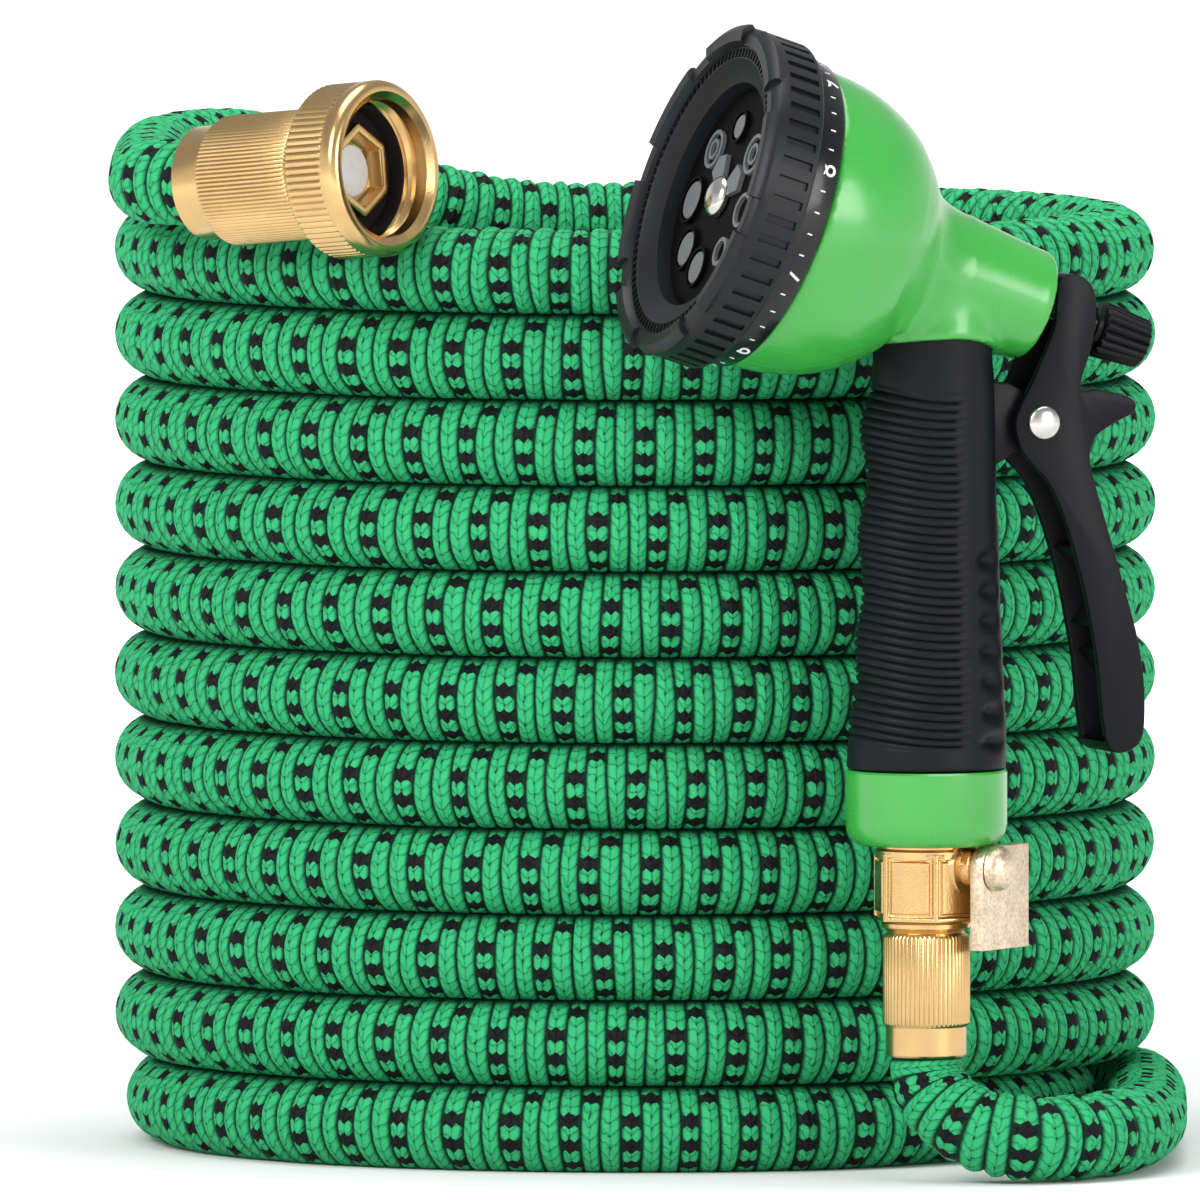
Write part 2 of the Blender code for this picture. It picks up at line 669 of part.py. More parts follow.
def spray_head(head):
    """The turning dial: its grip ring, its pattern band, the port disc and the centre screw."""
    face_seat = DIAL_FACE_DEPTH + FACE_THICKNESS + GAP
    turned(
        "dial_ring",
        (
            (DIAL_RADIUS - DIAL_RIM, 0.0),
            (DIAL_RADIUS - DIAL_EDGE, 0.0),
            (DIAL_RADIUS, -DIAL_EDGE),
            (DIAL_RADIUS, -DIAL_DEPTH),
            (SPINDLE_RADIUS + RUN_GAP, -DIAL_DEPTH),
            (SPINDLE_RADIUS + RUN_GAP, -face_seat),
            (DIAL_RADIUS - DIAL_RIM, -face_seat),
        ),
        black_plastic,
        head,
        36,
        closed=True,
    )
    turned(
        "pattern_band",
        (
            (SPINDLE_RADIUS + RUN_GAP, -BAND_START),
            (BAND_RADIUS, -BAND_START),
            (BAND_RADIUS - BAND_TAPER, -(BAND_START + BAND_DEPTH)),
            (SPINDLE_RADIUS + RUN_GAP, -(BAND_START + BAND_DEPTH)),
        ),
        black_gloss,
        head,
        36,
        closed=True,
    )
    face = turned(
        "spray_face",
        (
            (0.0, -DIAL_FACE_DEPTH),
            (DIAL_RADIUS - DIAL_RIM - GAP, -DIAL_FACE_DEPTH),
            (DIAL_RADIUS - DIAL_RIM - GAP, -(DIAL_FACE_DEPTH + FACE_THICKNESS)),
            (0.0, -(DIAL_FACE_DEPTH + FACE_THICKNESS)),
        ),
        black_gloss,
        head,
        36,
    )
    port_foot = -(DIAL_FACE_DEPTH + PORT_DEPTH)
    for port in range(PORT_COUNT):
        spot = on_circle(PORT_CIRCLE_RADIUS, 360 * port / PORT_COUNT, 0.0)
        hole = cutter(
            f"port_{port}",
            cylinder_mesh(f"port_{port}", PORT_RADIUS, port_foot, CUT_PAST, 12),
            head,
            Matrix.Translation(spot),
        )
        boolean(face, hole)
    seat = GAP - DIAL_FACE_DEPTH
    dome = [
        (FACE_SCREW_RADIUS * across, seat + FACE_SCREW_HEIGHT * up)
        for across, up in FACE_SCREW_DOME
    ]
    turned("face_screw", dome, bright_steel, head, 20)


def grip_and_collar(frame):
    """The rubber grip with the lug that carries the pivot, and the collar below it."""
    sections = [
        (depth, width, shift, GRIP_FOOT_Z + height)
        for height, depth, width, shift in GRIP_STATIONS
    ]
    grip = lofted("grip", sections, black_rubber, frame)
    lug = cutter(
        "pivot_lug", prism_mesh("pivot_lug", BRACKET_OUTLINE, BRACKET_WIDTH), pivot_frame
    )
    bore = cutter(
        "pin_bore",
        cylinder_mesh("pin_bore", PIN_RADIUS + GAP, -TRIGGER_WIDTH, TRIGGER_WIDTH, 20),
        pivot_frame,
        Matrix.Rotation(math.pi / 2, 4, "X"),
    )
    boolean(grip, lug, "UNION")
    boolean(grip, bore)
    turned(
        "nozzle_collar",
        (
            (0.0, COLLAR_TOP_Z),
            (COLLAR_RADIUS, COLLAR_TOP_Z),
            (COLLAR_RADIUS, COLLAR_FOOT_Z + COLLAR_EDGE),
            (COLLAR_RADIUS - COLLAR_EDGE, COLLAR_FOOT_Z),
            (VALVE_THREAD_RADIUS + GAP, COLLAR_FOOT_Z),
            (VALVE_THREAD_RADIUS + GAP, COLLAR_FOOT_Z + COLLAR_BORE_DEPTH),
            (0.0, COLLAR_FOOT_Z + COLLAR_BORE_DEPTH),
        ),
        nozzle_green,
        frame,
        36,
    )
    return bore


def trigger(frame, pin_bore):
    """The channel-shaped lever: two walls and a web, open towards the grip."""
    lever = piece(
        "trigger", prism_mesh("trigger", TRIGGER_OUTLINE, TRIGGER_WIDTH), black_plastic, frame
    )
    hollow = cutter(
        "trigger_hollow",
        prism_mesh("trigger_hollow", TRIGGER_HOLLOW, TRIGGER_WIDTH - 2 * TRIGGER_WALL),
        frame,
    )
    slot = cutter(
        "rod_slot",
        cylinder_mesh("rod_slot", ROD_SLOT_RADIUS, -KNOB_END, -BARREL_END, 20),
        head_frame,
    )
    boolean(lever, hollow)
    boolean(lever, slot)
    boolean(lever, pin_bore)
    half = TRIGGER_WIDTH / 2 + GAP
    pin = [(PIN_HEAD_RADIUS * across, half + PIN_HEAD_HEIGHT * up) for across, up in PIN_DOME]
    pin += [(PIN_RADIUS, half)]
    pin += [(x, -z) for x, z in reversed(pin)]
    turned(
        "pivot_pin", pin, bright_steel, frame, 20, place=Matrix.Rotation(math.pi / 2, 4, "X")
    )


def flow_stem(head):
    """The steel rod out of the barrel, and the knob on its end that sets the flow."""
    piece(
        "stem_rod",
        cylinder_mesh("stem_rod", ROD_RADIUS, -ROD_END, -(BARREL_START + GAP), 16),
        bright_steel,
        head,
    )
    bore = ROD_RADIUS + GAP
    hub_end = -(KNOB_START - KNOB_HUB_LENGTH)
    turned(
        "flow_knob",
        (
            (0.0, -(ROD_END + GAP)),
            (bore, -(ROD_END + GAP)),
            (bore, hub_end),
            (KNOB_HUB_RADIUS, hub_end),
            (KNOB_HUB_RADIUS, -KNOB_START),
            (KNOB_RADIUS, -KNOB_START),
            (KNOB_END_RADIUS, -(KNOB_END - KNOB_EDGE)),
            (KNOB_END_RADIUS - KNOB_EDGE, -KNOB_END),
            (0.0, -KNOB_END),
        ),
        black_plastic,
        head,
        24,
    )


def stand_on_footprint():
    """Move the hose so that its footprint's middle is at the origin and it rests on Z = 0."""
    bpy.context.view_layer.update()
    graph = bpy.context.evaluated_depsgraph_get()
    low = Vector((math.inf,) * 3)
    high = Vector((-math.inf,) * 3)
    for made in parts.objects:
        if made.type == "EMPTY":
            continue
        shown = made.evaluated_get(graph)
        mesh = shown.to_mesh()
        for corner in mesh.vertices:
            spot = shown.matrix_world @ corner.co
            low = Vector(map(min, low, spot))
            high = Vector(map(max, high, spot))
        shown.to_mesh_clear()
    stand.location = (-(low.x + high.x) / 2, -(low.y + high.y) / 2, -low.z)


for old in list(bpy.data.objects):
    bpy.data.objects.remove(old, do_unlink=True)

parts = collection("garden_hose")
cutters = collection("cutters")

hose_green = material("hose_green", (0.020, 0.480, 0.180), 0.75)
nozzle_green = material("nozzle_green", (0.060, 0.520, 0.085), 0.25)
black_rubber = material("black_rubber", (0.025, 0.028, 0.033), 0.60)
black_plastic = material("black_plastic", (0.020, 0.022, 0.026), 0.45)
black_gloss = material("black_gloss", (0.015, 0.016, 0.018), 0.20)
brass = material("brass", (0.750, 0.480, 0.170), 0.28, 1.0)
lever_metal = material("lever_metal", (0.720, 0.620, 0.470), 0.38, 1.0)
bright_steel = material("bright_steel", (0.720, 0.720, 0.700), 0.22, 1.0)

stand = empty("stand", Matrix.Identity(4))
tap_frame = empty("tap_frame", tap_place(), stand)
valve_frame = empty("valve_frame", Matrix.Translation((VALVE_X, VALVE_Y, 0.0)), stand)
lever_frame = empty(
    "lever_frame",
    Matrix.Translation((0.0, 0.0, STEM_Z))
    @ Matrix.Rotation(STEM_BEARING, 4, "Z")
    @ Matrix.Rotation(math.pi / 2, 4, "Y")
    @ Matrix.Rotation(math.pi / 2, 4, "Z"),
    valve_frame,
)
nozzle_frame = empty("nozzle_frame", Matrix.Rotation(NOZZLE_YAW, 4, "Z"), valve_frame)
head_frame = empty(
    "head_frame",
    Matrix.Translation((FACE_X, 0.0, FACE_Z))
    @ Matrix.Rotation(-(math.pi / 2 - HEAD_PITCH), 4, "Y"),
    nozzle_frame,
)
pivot_frame = empty("pivot_frame", Matrix.Translation((PIVOT_X, 0.0, PIVOT_Z)), nozzle_frame)

hose_coil()
hose_floor_turn()
hose_tap_end()
tap_coupling(tap_frame)
shut_off_valve(valve_frame)
nozzle_body(nozzle_frame, head_frame)
spray_head(head_frame)
shared_pin_bore = grip_and_collar(nozzle_frame)
trigger(pivot_frame, shared_pin_bore)
flow_stem(head_frame)
stand_on_footprint()
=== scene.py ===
"""The looks of a coiled garden hose with its tap coupling, shut-off valve and spray nozzle."""

import json
import math

import bmesh
import bpy
import numpy as np
from mathutils import Matrix, Vector


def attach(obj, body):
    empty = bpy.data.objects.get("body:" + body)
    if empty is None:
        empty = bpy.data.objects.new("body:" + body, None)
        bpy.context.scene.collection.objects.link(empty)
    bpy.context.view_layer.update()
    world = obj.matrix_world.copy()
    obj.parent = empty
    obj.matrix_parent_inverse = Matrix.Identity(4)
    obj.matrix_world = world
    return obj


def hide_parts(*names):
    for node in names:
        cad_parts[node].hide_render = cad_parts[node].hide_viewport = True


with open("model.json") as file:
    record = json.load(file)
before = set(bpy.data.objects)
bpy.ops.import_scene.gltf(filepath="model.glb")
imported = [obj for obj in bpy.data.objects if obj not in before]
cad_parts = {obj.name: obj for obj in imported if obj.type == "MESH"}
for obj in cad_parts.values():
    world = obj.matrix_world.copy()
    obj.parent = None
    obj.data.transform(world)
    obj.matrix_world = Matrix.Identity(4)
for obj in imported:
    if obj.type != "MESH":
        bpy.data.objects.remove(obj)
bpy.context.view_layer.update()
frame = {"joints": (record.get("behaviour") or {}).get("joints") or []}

for old in [o for o in bpy.data.objects if o.type in {"CAMERA", "LIGHT"}]:
    bpy.data.objects.remove(old, do_unlink=True)

# The camera: a long lens far off, so that the turns stack without perspective.
# It looks along +Y from a little above the floor, as the photograph does.
CAMERA_DISTANCE = 9.0
CAMERA_TILT = math.radians(3.3)
FRAME_WIDTH = 0.240
SENSOR_WIDTH = 36.0
CLIP_END = 50.0
VALVE_FROM_COIL = (0.0574, -0.1210)
FRAME_FROM_COIL = (-0.0070, 0.0, 0.1078)
joints = {joint["name"]: joint for joint in frame["joints"]}
valve_spot = joints["shut_off_turn"]["pos_m"]
COIL_CENTRE = Vector((valve_spot[0] - VALVE_FROM_COIL[0], valve_spot[1] - VALVE_FROM_COIL[1], 0.0))
FRAME_CENTRE = COIL_CENTRE + Vector(FRAME_FROM_COIL)
camera_data = bpy.data.cameras.new("camera")
camera_data.sensor_width = SENSOR_WIDTH
camera_data.lens = SENSOR_WIDTH * CAMERA_DISTANCE / FRAME_WIDTH
camera_data.clip_end = CLIP_END
camera = bpy.data.objects.new("camera", camera_data)
bpy.context.scene.collection.objects.link(camera)
camera.location = FRAME_CENTRE + CAMERA_DISTANCE * Vector(
    (0.0, -math.cos(CAMERA_TILT), math.sin(CAMERA_TILT))
)
camera.rotation_euler = (math.pi / 2 - CAMERA_TILT, 0.0, 0.0)
bpy.context.scene.camera = camera


# Maths on shader sockets, used by every material below: an expression on values adds
# its Math nodes, and node() adds any other node with its settings and inputs.
class Value:
    def __init__(self, tree, socket):
        self.tree = tree
        self.socket = socket

    def node(self, kind, settings=None, output=0, **inputs):
        made = self.tree.nodes.new(kind)
        for name, setting in (settings or {}).items():
            if name == "stops":
                ramp = made.color_ramp
                while len(ramp.elements) > 1:
                    ramp.elements.remove(ramp.elements[-1])
                for index, (place, colour) in enumerate(setting):
                    stop = ramp.elements[0] if index == 0 else ramp.elements.new(place)
                    stop.position = place
                    stop.color = (*colour, 1.0)
            else:
                setattr(made, name, setting)
        for name, given in inputs.items():
            key = int(name[1:]) if name[0] == "_" else name.replace("_", " ")
            if isinstance(given, Value):
                self.tree.links.new(given.socket, made.inputs[key])
            else:
                made.inputs[key].default_value = given
        return Value(self.tree, made.outputs[output])

    def maths(self, operation, *others):
        given = {f"_{index}": other for index, other in enumerate((self, *others))}
        return self.node("ShaderNodeMath", {"operation": operation}, **given)

    def __add__(self, other):
        return self.maths("ADD", other)

    def __radd__(self, other):
        return self.maths("ADD", other)

    def __sub__(self, other):
        return self.maths("SUBTRACT", other)

    def __rsub__(self, other):
        return (self * -1.0) + other

    def __mul__(self, other):
        return self.maths("MULTIPLY", other)

    def __rmul__(self, other):
        return self.maths("MULTIPLY", other)

    def __lt__(self, other):
        return self.maths("LESS_THAN", other)

    def __gt__(self, other):
        return self.maths("GREATER_THAN", other)

    def __mod__(self, other):
        return self.maths("FLOORED_MODULO", other)

    def __abs__(self):
        return self.maths("ABSOLUTE")

    def floor(self):
        return self.maths("FLOOR")

    def between(self, low, high):
        """0 below low, 1 above high, and smooth in between."""
        return self.node(
            "ShaderNodeMapRange",
            {"interpolation_type": "SMOOTHSTEP"},
            _0=self,
            From_Min=low,
            From_Max=high,
        )

    def blend(self, low, high):
        """Mixes two colours by this value."""
        return self.node(
            "ShaderNodeMix",
            {"data_type": "RGBA"},
            output=2,
            _0=self,
            _6=low if isinstance(low, Value) else (*low, 1.0),
            _7=high if isinstance(high, Value) else (*high, 1.0),
        )


def finish(name, **constants):
    """A Principled material with its constant sockets set; returns it, its shader and a Value."""
    made = bpy.data.materials.new(name)
    made.use_nodes = True
    shader = made.node_tree.nodes["Principled BSDF"]
    for socket, value in constants.items():
        shader.inputs[socket.replace("_", " ")].default_value = value
    return made, shader, Value(made.node_tree, None)


def wire(shader, socket, value):
    value.tree.links.new(value.socket, shader.inputs[socket])


def linear(red, green, blue):
    """A colour given on the usual 0 to 255 scale, as the shader wants it."""
    return tuple(
        c / 255 / 12.92 if c / 255 <= 0.04045 else ((c / 255 + 0.055) / 1.055) ** 2.4
        for c in (red, green, blue)
    )


# The hose: an inner tube inside a woven polyester sleeve that bunches into ruffles when
# the water is off, green with black tracer flecks. It is one length, wound clockwise from
# the tap coupling down to the floor turn, whose end climbs into the valve's ferrule, and
# its ruffles are pressed smooth where one turn lies on the next. Four tubes make it.
HOSE_DIAMETER = 0.017
HOSE_RADIUS = HOSE_DIAMETER / 2
COIL_RADIUS = 0.0955
RING_TURNS = 10
TOP_TURN_HEIGHT = 0.1785
TAIL_HEIGHT = 0.1958
STEP_DOWN_FROM = 150
STEP_DOWN_TO = 98
INWARD_HASTE = 1.7
BEARING_STEP = 2
ROUTE_SPACING = 0.003
JOIN_BEARINGS = (172, 161, 152)
FLOOR_TURN_KEYS = (
    (98, 0.0838), (5, 0.0838), (-30, 0.0870), (-70, 0.0955), (-120, 0.0955),
    (-180, 0.0932), (-210, 0.0972), (-240, 0.1018), (-360, 0.1018),
)
VALVE_TAIL_ROUTE = (
    (0.1016, -0.0200, 0.0085), (0.1014, -0.0450, 0.0085), (0.1008, -0.0720, 0.0085),
    (0.0978, -0.0960, 0.0085), (0.0900, -0.1155, 0.0085), (0.0792, -0.1258, 0.0086),
    (0.0690, -0.1268, 0.0101), (0.0618, -0.1240, 0.0138), (0.0583, -0.1217, 0.0184),
    (0.0574, -0.1210, 0.0228), (0.0574, -0.1210, 0.0243),
)
TAP_TAIL_ROUTE = (
    (-0.0857, -0.0763, 0.1949), (-0.0869, -0.0754, 0.1948),
    (-0.0918, -0.0702, 0.1949), (-0.0952, -0.0632, 0.1946), (-0.0963, -0.0559, 0.1945),
    (-0.0964, -0.0450, 0.1947), (-0.0964, -0.0340, 0.1951), (-0.0962, -0.0230, 0.1955),
    (-0.0960, -0.0120, 0.1958), (-0.0957, -0.0010, 0.1958),
)
RUFFLE_PITCH = 0.00370
RUFFLE_RINGS = ((0.0, 1.0), (0.13, 0.46), (0.36, 0.06), (0.62, 0.0), (0.87, 0.42))
RUFFLE_DEPTH = 0.0009
RUFFLE_WANDER = 0.00040
RUFFLE_SWELL = 0.00022
RUFFLE_SEED = 7
SEEDED_RUFFLES = 4000
STEEP_CLIMB = 0.30
NIP_GAP = 0.0001
NIP_PRESS = 0.00022
NIP_POWER = 18
NIP_ROW = 2.5
STACKED_FROM = 34
COVERED_FROM = 196
COVERED_TO = 1800
# How far, in rows from the contact row, the painted shade along the nip between turns stays full and
# where it has faded out.
NIP_DARK = 0.38
NIP_CLEAR = 1.05
SLEEVE_SIDES = 28
STITCH_SLANT = 0.75
STITCH_WANDER = 1.3
STITCH_RELIEF = 0.00042
GROOVE_SHARE = 0.19
FLECK_ROWS = 10
FLECK_EVERY = 3
FLECK_HEIGHT = 0.61
FLECK_SHIFT_FROM = 1.11
FLECK_SHIFT_TO = 4.11
FLECK_REACH = 0.19
FLECK_BULGE = 0.15
# Lit and shaded copies of the green and of the black tracer, between which the sleeve paints light and
# shade over each stitch. The near-black green is painted shade for stitch pits, the grooves between
# ruffles and the nip between turns.
GREEN_LIGHT = (0.032, 0.390, 0.150)
GREEN_SHADE = (0.007, 0.190, 0.068)
GREEN_PAINTED_SHADE = (0.001, 0.022, 0.010)
TRACER_SHADE = (0.0006, 0.0007, 0.0009)
TRACER_LIGHT = (0.0090, 0.0092, 0.0105)
FERRULE_TAPER = 0.030
FERRULE_RADIUS = 0.0072


def eased(share):
    return share * share * (3 - 2 * share)


def between_keys(keys, value):
    for (start, low), (end, high) in zip(keys, keys[1:]):
        if value >= end:
            return low + (high - low) * eased((start - value) / (start - end))
    return keys[-1][1]


def on_circle(radius, bearing, height):
    angle = math.radians(bearing)
    return Vector((radius * math.cos(angle), radius * math.sin(angle), height))


def smooth_route(points, spacing):
    """Points on a Catmull-Rom curve through the route's own points."""
    route = [Vector(point) for point in points]
    padded = [2 * route[0] - route[1], *route, 2 * route[-1] - route[-2]]
    out = []
    for before, start, end, after in zip(padded, padded[1:], padded[2:], padded[3:]):
        count = max(1, round((end - start).length / spacing))
        for t in (step / count for step in range(count)):
            bend = 2 * before - 5 * start + 4 * end - after
            twist = 3 * start - before - 3 * end + after
            out.append(0.5 * (2 * start + (end - before) * t + bend * t**2 + twist * t**3))
    return [*out, route[-1]]


def hose_route():
    """The whole centreline, from the tap ferrule to the valve's ferrule."""
    start = [on_circle(COIL_RADIUS, bearing, TAIL_HEIGHT) for bearing in JOIN_BEARINGS]
    points = smooth_route([*TAP_TAIL_ROUTE, *start], ROUTE_SPACING)
    fall = STEP_DOWN_FROM - STEP_DOWN_TO
    for turn in range(RING_TURNS + 1):
        height = TOP_TURN_HEIGHT - HOSE_DIAMETER * turn
        for degree in range(0, fall, BEARING_STEP):
            down = eased(degree / fall)
            share = min(1.0, INWARD_HASTE * degree / fall)
            inward = eased(share) if turn == RING_TURNS else 0.0
            radius = COIL_RADIUS + (FLOOR_TURN_KEYS[0][1] - COIL_RADIUS) * inward
            above = height + HOSE_DIAMETER * (1 - down)
            if turn == RING_TURNS:
                above = HOSE_RADIUS + HOSE_DIAMETER * (1 - down)
            points.append(on_circle(radius, STEP_DOWN_FROM - degree, above))
        if turn < RING_TURNS:
            for degree in range(0, 360 - fall, BEARING_STEP):
                points.append(on_circle(COIL_RADIUS, STEP_DOWN_TO - degree, height))
    for degree in range(0, FLOOR_TURN_KEYS[0][0] - FLOOR_TURN_KEYS[-1][0], BEARING_STEP):
        bearing = FLOOR_TURN_KEYS[0][0] - degree
        points.append(on_circle(between_keys(FLOOR_TURN_KEYS, bearing), bearing, HOSE_RADIUS))
    last = on_circle(FLOOR_TURN_KEYS[-1][1], 0, HOSE_RADIUS)
    points += smooth_route([last, *VALVE_TAIL_ROUTE], ROUTE_SPACING)
    return np.array([COIL_CENTRE + point for point in points])


def hose_rings(route):
    """Ring centres with their own axes, ruffle counts and radii, down the whole hose."""
    along = np.concatenate([[0], np.cumsum(np.linalg.norm(np.diff(route, axis=0), axis=1))])
    ruffles = int(along[-1] / RUFFLE_PITCH)
    pitch = along[-1] / ruffles
    count = [ruffle + phase for ruffle in range(ruffles) for phase, _ in RUFFLE_RINGS]
    dip = np.array([depth for _ in range(ruffles) for _, depth in RUFFLE_RINGS] + [1.0])
    count = np.array([*count, ruffles], float)
    at = count * pitch
    centres = np.stack([np.interp(at, along, route[:, k]) for k in range(3)], axis=1)
    forward = np.gradient(centres, axis=0)
    for _ in range(3):
        forward[1:-1] = (forward[:-2] + 2 * forward[1:-1] + forward[2:]) / 4
    forward /= np.linalg.norm(forward, axis=1, keepdims=True)
    up = np.zeros_like(forward)
    last = np.array((0.0, 0.0, 1.0))
    for index, ahead in enumerate(forward):
        wanted = np.array((0.0, 0.0, 1.0)) if abs(ahead[2]) < STEEP_CLIMB else last
        wanted = wanted - ahead * (wanted @ ahead)
        last = wanted / np.linalg.norm(wanted)
        up[index] = last
    outward = np.cross(forward, up)
    radius = HOSE_RADIUS - NIP_GAP - RUFFLE_DEPTH * dip
    left = along[-1] - at
    neck = np.clip(1 - left / FERRULE_TAPER, 0, 1) ** 2
    radius = radius * (1 - neck) + (FERRULE_RADIUS - 0.5 * RUFFLE_DEPTH * dip) * neck
    return centres, forward, up, outward, radius, count


def hose_tube(name, rings, first, last):
    """One stretch of the sleeve, as rings joined by quads, with its ruffle and row counts as UV."""
    centres, forward, up, outward, radius, count = (item[first : last + 1] for item in rings)
    turn = np.linspace(0, 2 * np.pi, SLEEVE_SIDES, endpoint=False)
    rng = np.random.default_rng(RUFFLE_SEED)
    drift = rng.uniform(0, 2 * np.pi, (2, SEEDED_RUFFLES))
    swell = rng.uniform(-1, 1, SEEDED_RUFFLES)
    ruffle = np.floor(count + 1e-6).astype(int)
    share = count - ruffle
    wander = np.zeros((len(count), SLEEVE_SIDES))
    for k, reach in ((1, 0.6), (2, 0.4)):
        here = np.sin(k * turn[None, :] + drift[k - 1][ruffle][:, None])
        after = np.sin(k * turn[None, :] + drift[k - 1][ruffle + 1][:, None])
        wander += reach * (here * (1 - share)[:, None] + after * share[:, None])
    lump = swell[ruffle] * np.sin(np.pi * share) * RUFFLE_SWELL
    reach = radius[:, None] + lump[:, None]
    above = (count > COVERED_FROM) & (count < COVERED_TO)
    below = (count > STACKED_FROM) & (count < COVERED_TO)
    sine = np.sin(turn)[None, :]
    pressed = np.where(sine > 0, above[:, None], below[:, None]) * np.abs(sine) ** NIP_POWER
    reach = reach * (1 - pressed) + (HOSE_RADIUS + NIP_PRESS) * pressed
    spots = (
        centres[:, None, :]
        + reach[:, :, None] * np.cos(turn)[None, :, None] * outward[:, None, :]
        + reach[:, :, None] * np.sin(turn)[None, :, None] * up[:, None, :]
        + (wander * RUFFLE_WANDER)[:, :, None] * forward[:, None, :]
    )
    spots[0] -= (wander[0] * RUFFLE_WANDER)[:, None] * forward[0]
    spots[-1] -= (wander[-1] * RUFFLE_WANDER)[:, None] * forward[-1]
    rows, sides = spots.shape[:2]
    ring, side = np.meshgrid(np.arange(rows - 1), np.arange(sides), indexing="ij")
    beside = (side + 1) % sides
    quads = np.stack(
        [ring * sides + side, ring * sides + beside,
         (ring + 1) * sides + beside, (ring + 1) * sides + side], axis=-1
    ).reshape(-1, 4)
    first_cap = list(range(sides))[::-1]
    last_cap = [(rows - 1) * sides + k for k in range(sides)]
    mesh = bpy.data.meshes.new(name)
    mesh.from_pydata(spots.reshape(-1, 3).tolist(), [], [*quads.tolist(), first_cap, last_cap])
    layer = mesh.uv_layers.new(name="sleeve")
    lay = np.zeros((len(mesh.loops), 2), np.float32)
    across = np.stack([side, side + 1, side + 1, side], axis=-1).reshape(-1) * FLECK_ROWS / sides
    low_count, high_count = count[ring], count[ring + 1]
    down = np.stack([low_count, low_count, high_count, high_count], axis=-1).reshape(-1)
    lay[: len(down), 0] = down
    lay[: len(down), 1] = across
    lay[len(down) :, 0] = 0.5
    layer.data.foreach_set("uv", lay.ravel())
    mesh.validate()
    mesh.shade_smooth()
    made = bpy.data.objects.new(name, mesh)
    bpy.context.scene.collection.objects.link(made)
    return made, centres


def sleeve_material():
    """Green polyester plait: slanted stitches, two columns to a ruffle, and black flecks, with painted
    light and shade over the stitches and painted shade in their pits, in the grooves between ruffles
    and where one turn lies on the next.
    """
    made, shader, start = finish("sleeve", Roughness=0.65, Specular_IOR_Level=0.12)
    place = start.node("ShaderNodeUVMap", {"uv_map": "sleeve"})
    ruffle = place.node("ShaderNodeSeparateXYZ", _0=place)
    row = place.node("ShaderNodeSeparateXYZ", output=1, _0=place)
    fuzz = start.node("ShaderNodeTexNoise", Vector=place, Scale=2.3, Detail=2.0)
    mottle = start.node("ShaderNodeTexNoise", Vector=place, Scale=5.0, Detail=3.0)
    jitter = fuzz - 0.5
    column = ruffle * 2 + jitter * 0.5
    across = abs(column % 1 - 0.5) * 2
    slant = (column % 1 - 0.5) * ((column.floor() % 2) * 2 - 1)
    number = (ruffle + jitter * 0.15).floor()
    chance = start.node("ShaderNodeTexWhiteNoise", {"noise_dimensions": "1D"}, W=number)
    stitch = row * 2 + slant * STITCH_SLANT + jitter * STITCH_WANDER + chance
    upright = abs(stitch % 1 - 0.5) * 2
    pillow = (1 - across.maths("POWER", 5.0) * 0.7) * (1 - upright.maths("POWER", 4.0) * 0.8)
    # Painted shade, near black, in the pits between stitches.
    pit_shade = (across + upright * 1.1).between(1.66, 2.05)
    level = abs((row - FLECK_HEIGHT + 0.5) % 1 - 0.5)
    band = row % FLECK_ROWS
    shifted = (band > FLECK_SHIFT_FROM) * (band < FLECK_SHIFT_TO)
    flecked = ((number + shifted) % FLECK_EVERY) < 0.5
    reach = across * FLECK_BULGE + FLECK_REACH
    black = flecked * (reach + jitter * 0.14 - level).between(-0.02, 0.02)
    # Painted shade in the grooves between ruffles: the colour goes near black at each ruffle's ends.
    share = ruffle % 1
    groove_shade = share.between(0.0, GROOVE_SHARE) * (1 - share.between(1 - GROOVE_SHARE, 1.0))
    # Painted light and shade across each stitch: the crown lighter and the edges darker, mixed with
    # random tone from the mottle.
    tone = pillow * 0.42 + mottle * 0.58
    green = tone.between(0.10, 0.80).blend(GREEN_SHADE, GREEN_LIGHT)
    dark = tone.blend(TRACER_SHADE, TRACER_LIGHT)
    # The green and black dye colours, with the painted stitch light and shade and the painted pit
    # shade in them.
    dye_and_shade = black.blend(pit_shade.blend(green, GREEN_PAINTED_SHADE), dark)
    # Painted shade on top of each turn that has another turn lying on it, along the line where they
    # touch.
    below = (ruffle > COVERED_FROM) * (ruffle < COVERED_TO)
    nip_shade = 1 - (1 - abs(band - NIP_ROW).between(NIP_DARK, NIP_CLEAR)) * below
    wire(shader, "Base Color", (groove_shade * nip_shade).blend(GREEN_PAINTED_SHADE, dye_and_shade))
    height = pillow + mottle * 0.4
    bump = start.node("ShaderNodeBump", Strength=0.8, Distance=STITCH_RELIEF, Height=height)
    wire(shader, "Normal", bump)
    return made


hose_finish = sleeve_material()
rings = hose_rings(hose_route())
last_ring = len(rings[0]) - 1
per_ruffle = len(RUFFLE_RINGS)
stretches = (
    ("hose_top", ["hose_coil", "hose_tap_end"]),
    ("hose_upper", ["hose_coil"]),
    ("hose_lower", ["hose_coil"]),
    ("hose_foot", ["hose_coil", "hose_floor_turn"]),
)
cuts = [
    round(k * last_ring / len(stretches) / per_ruffle) * per_ruffle
    for k in range(len(stretches))
]
cuts.append(last_ring)
for (name, nodes), first, last in zip(stretches, cuts, cuts[1:]):
    sleeve, line = hose_tube(name, rings, first, last)
    sleeve.data.materials.append(hose_finish)
    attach(sleeve, "hose")
    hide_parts(*nodes)


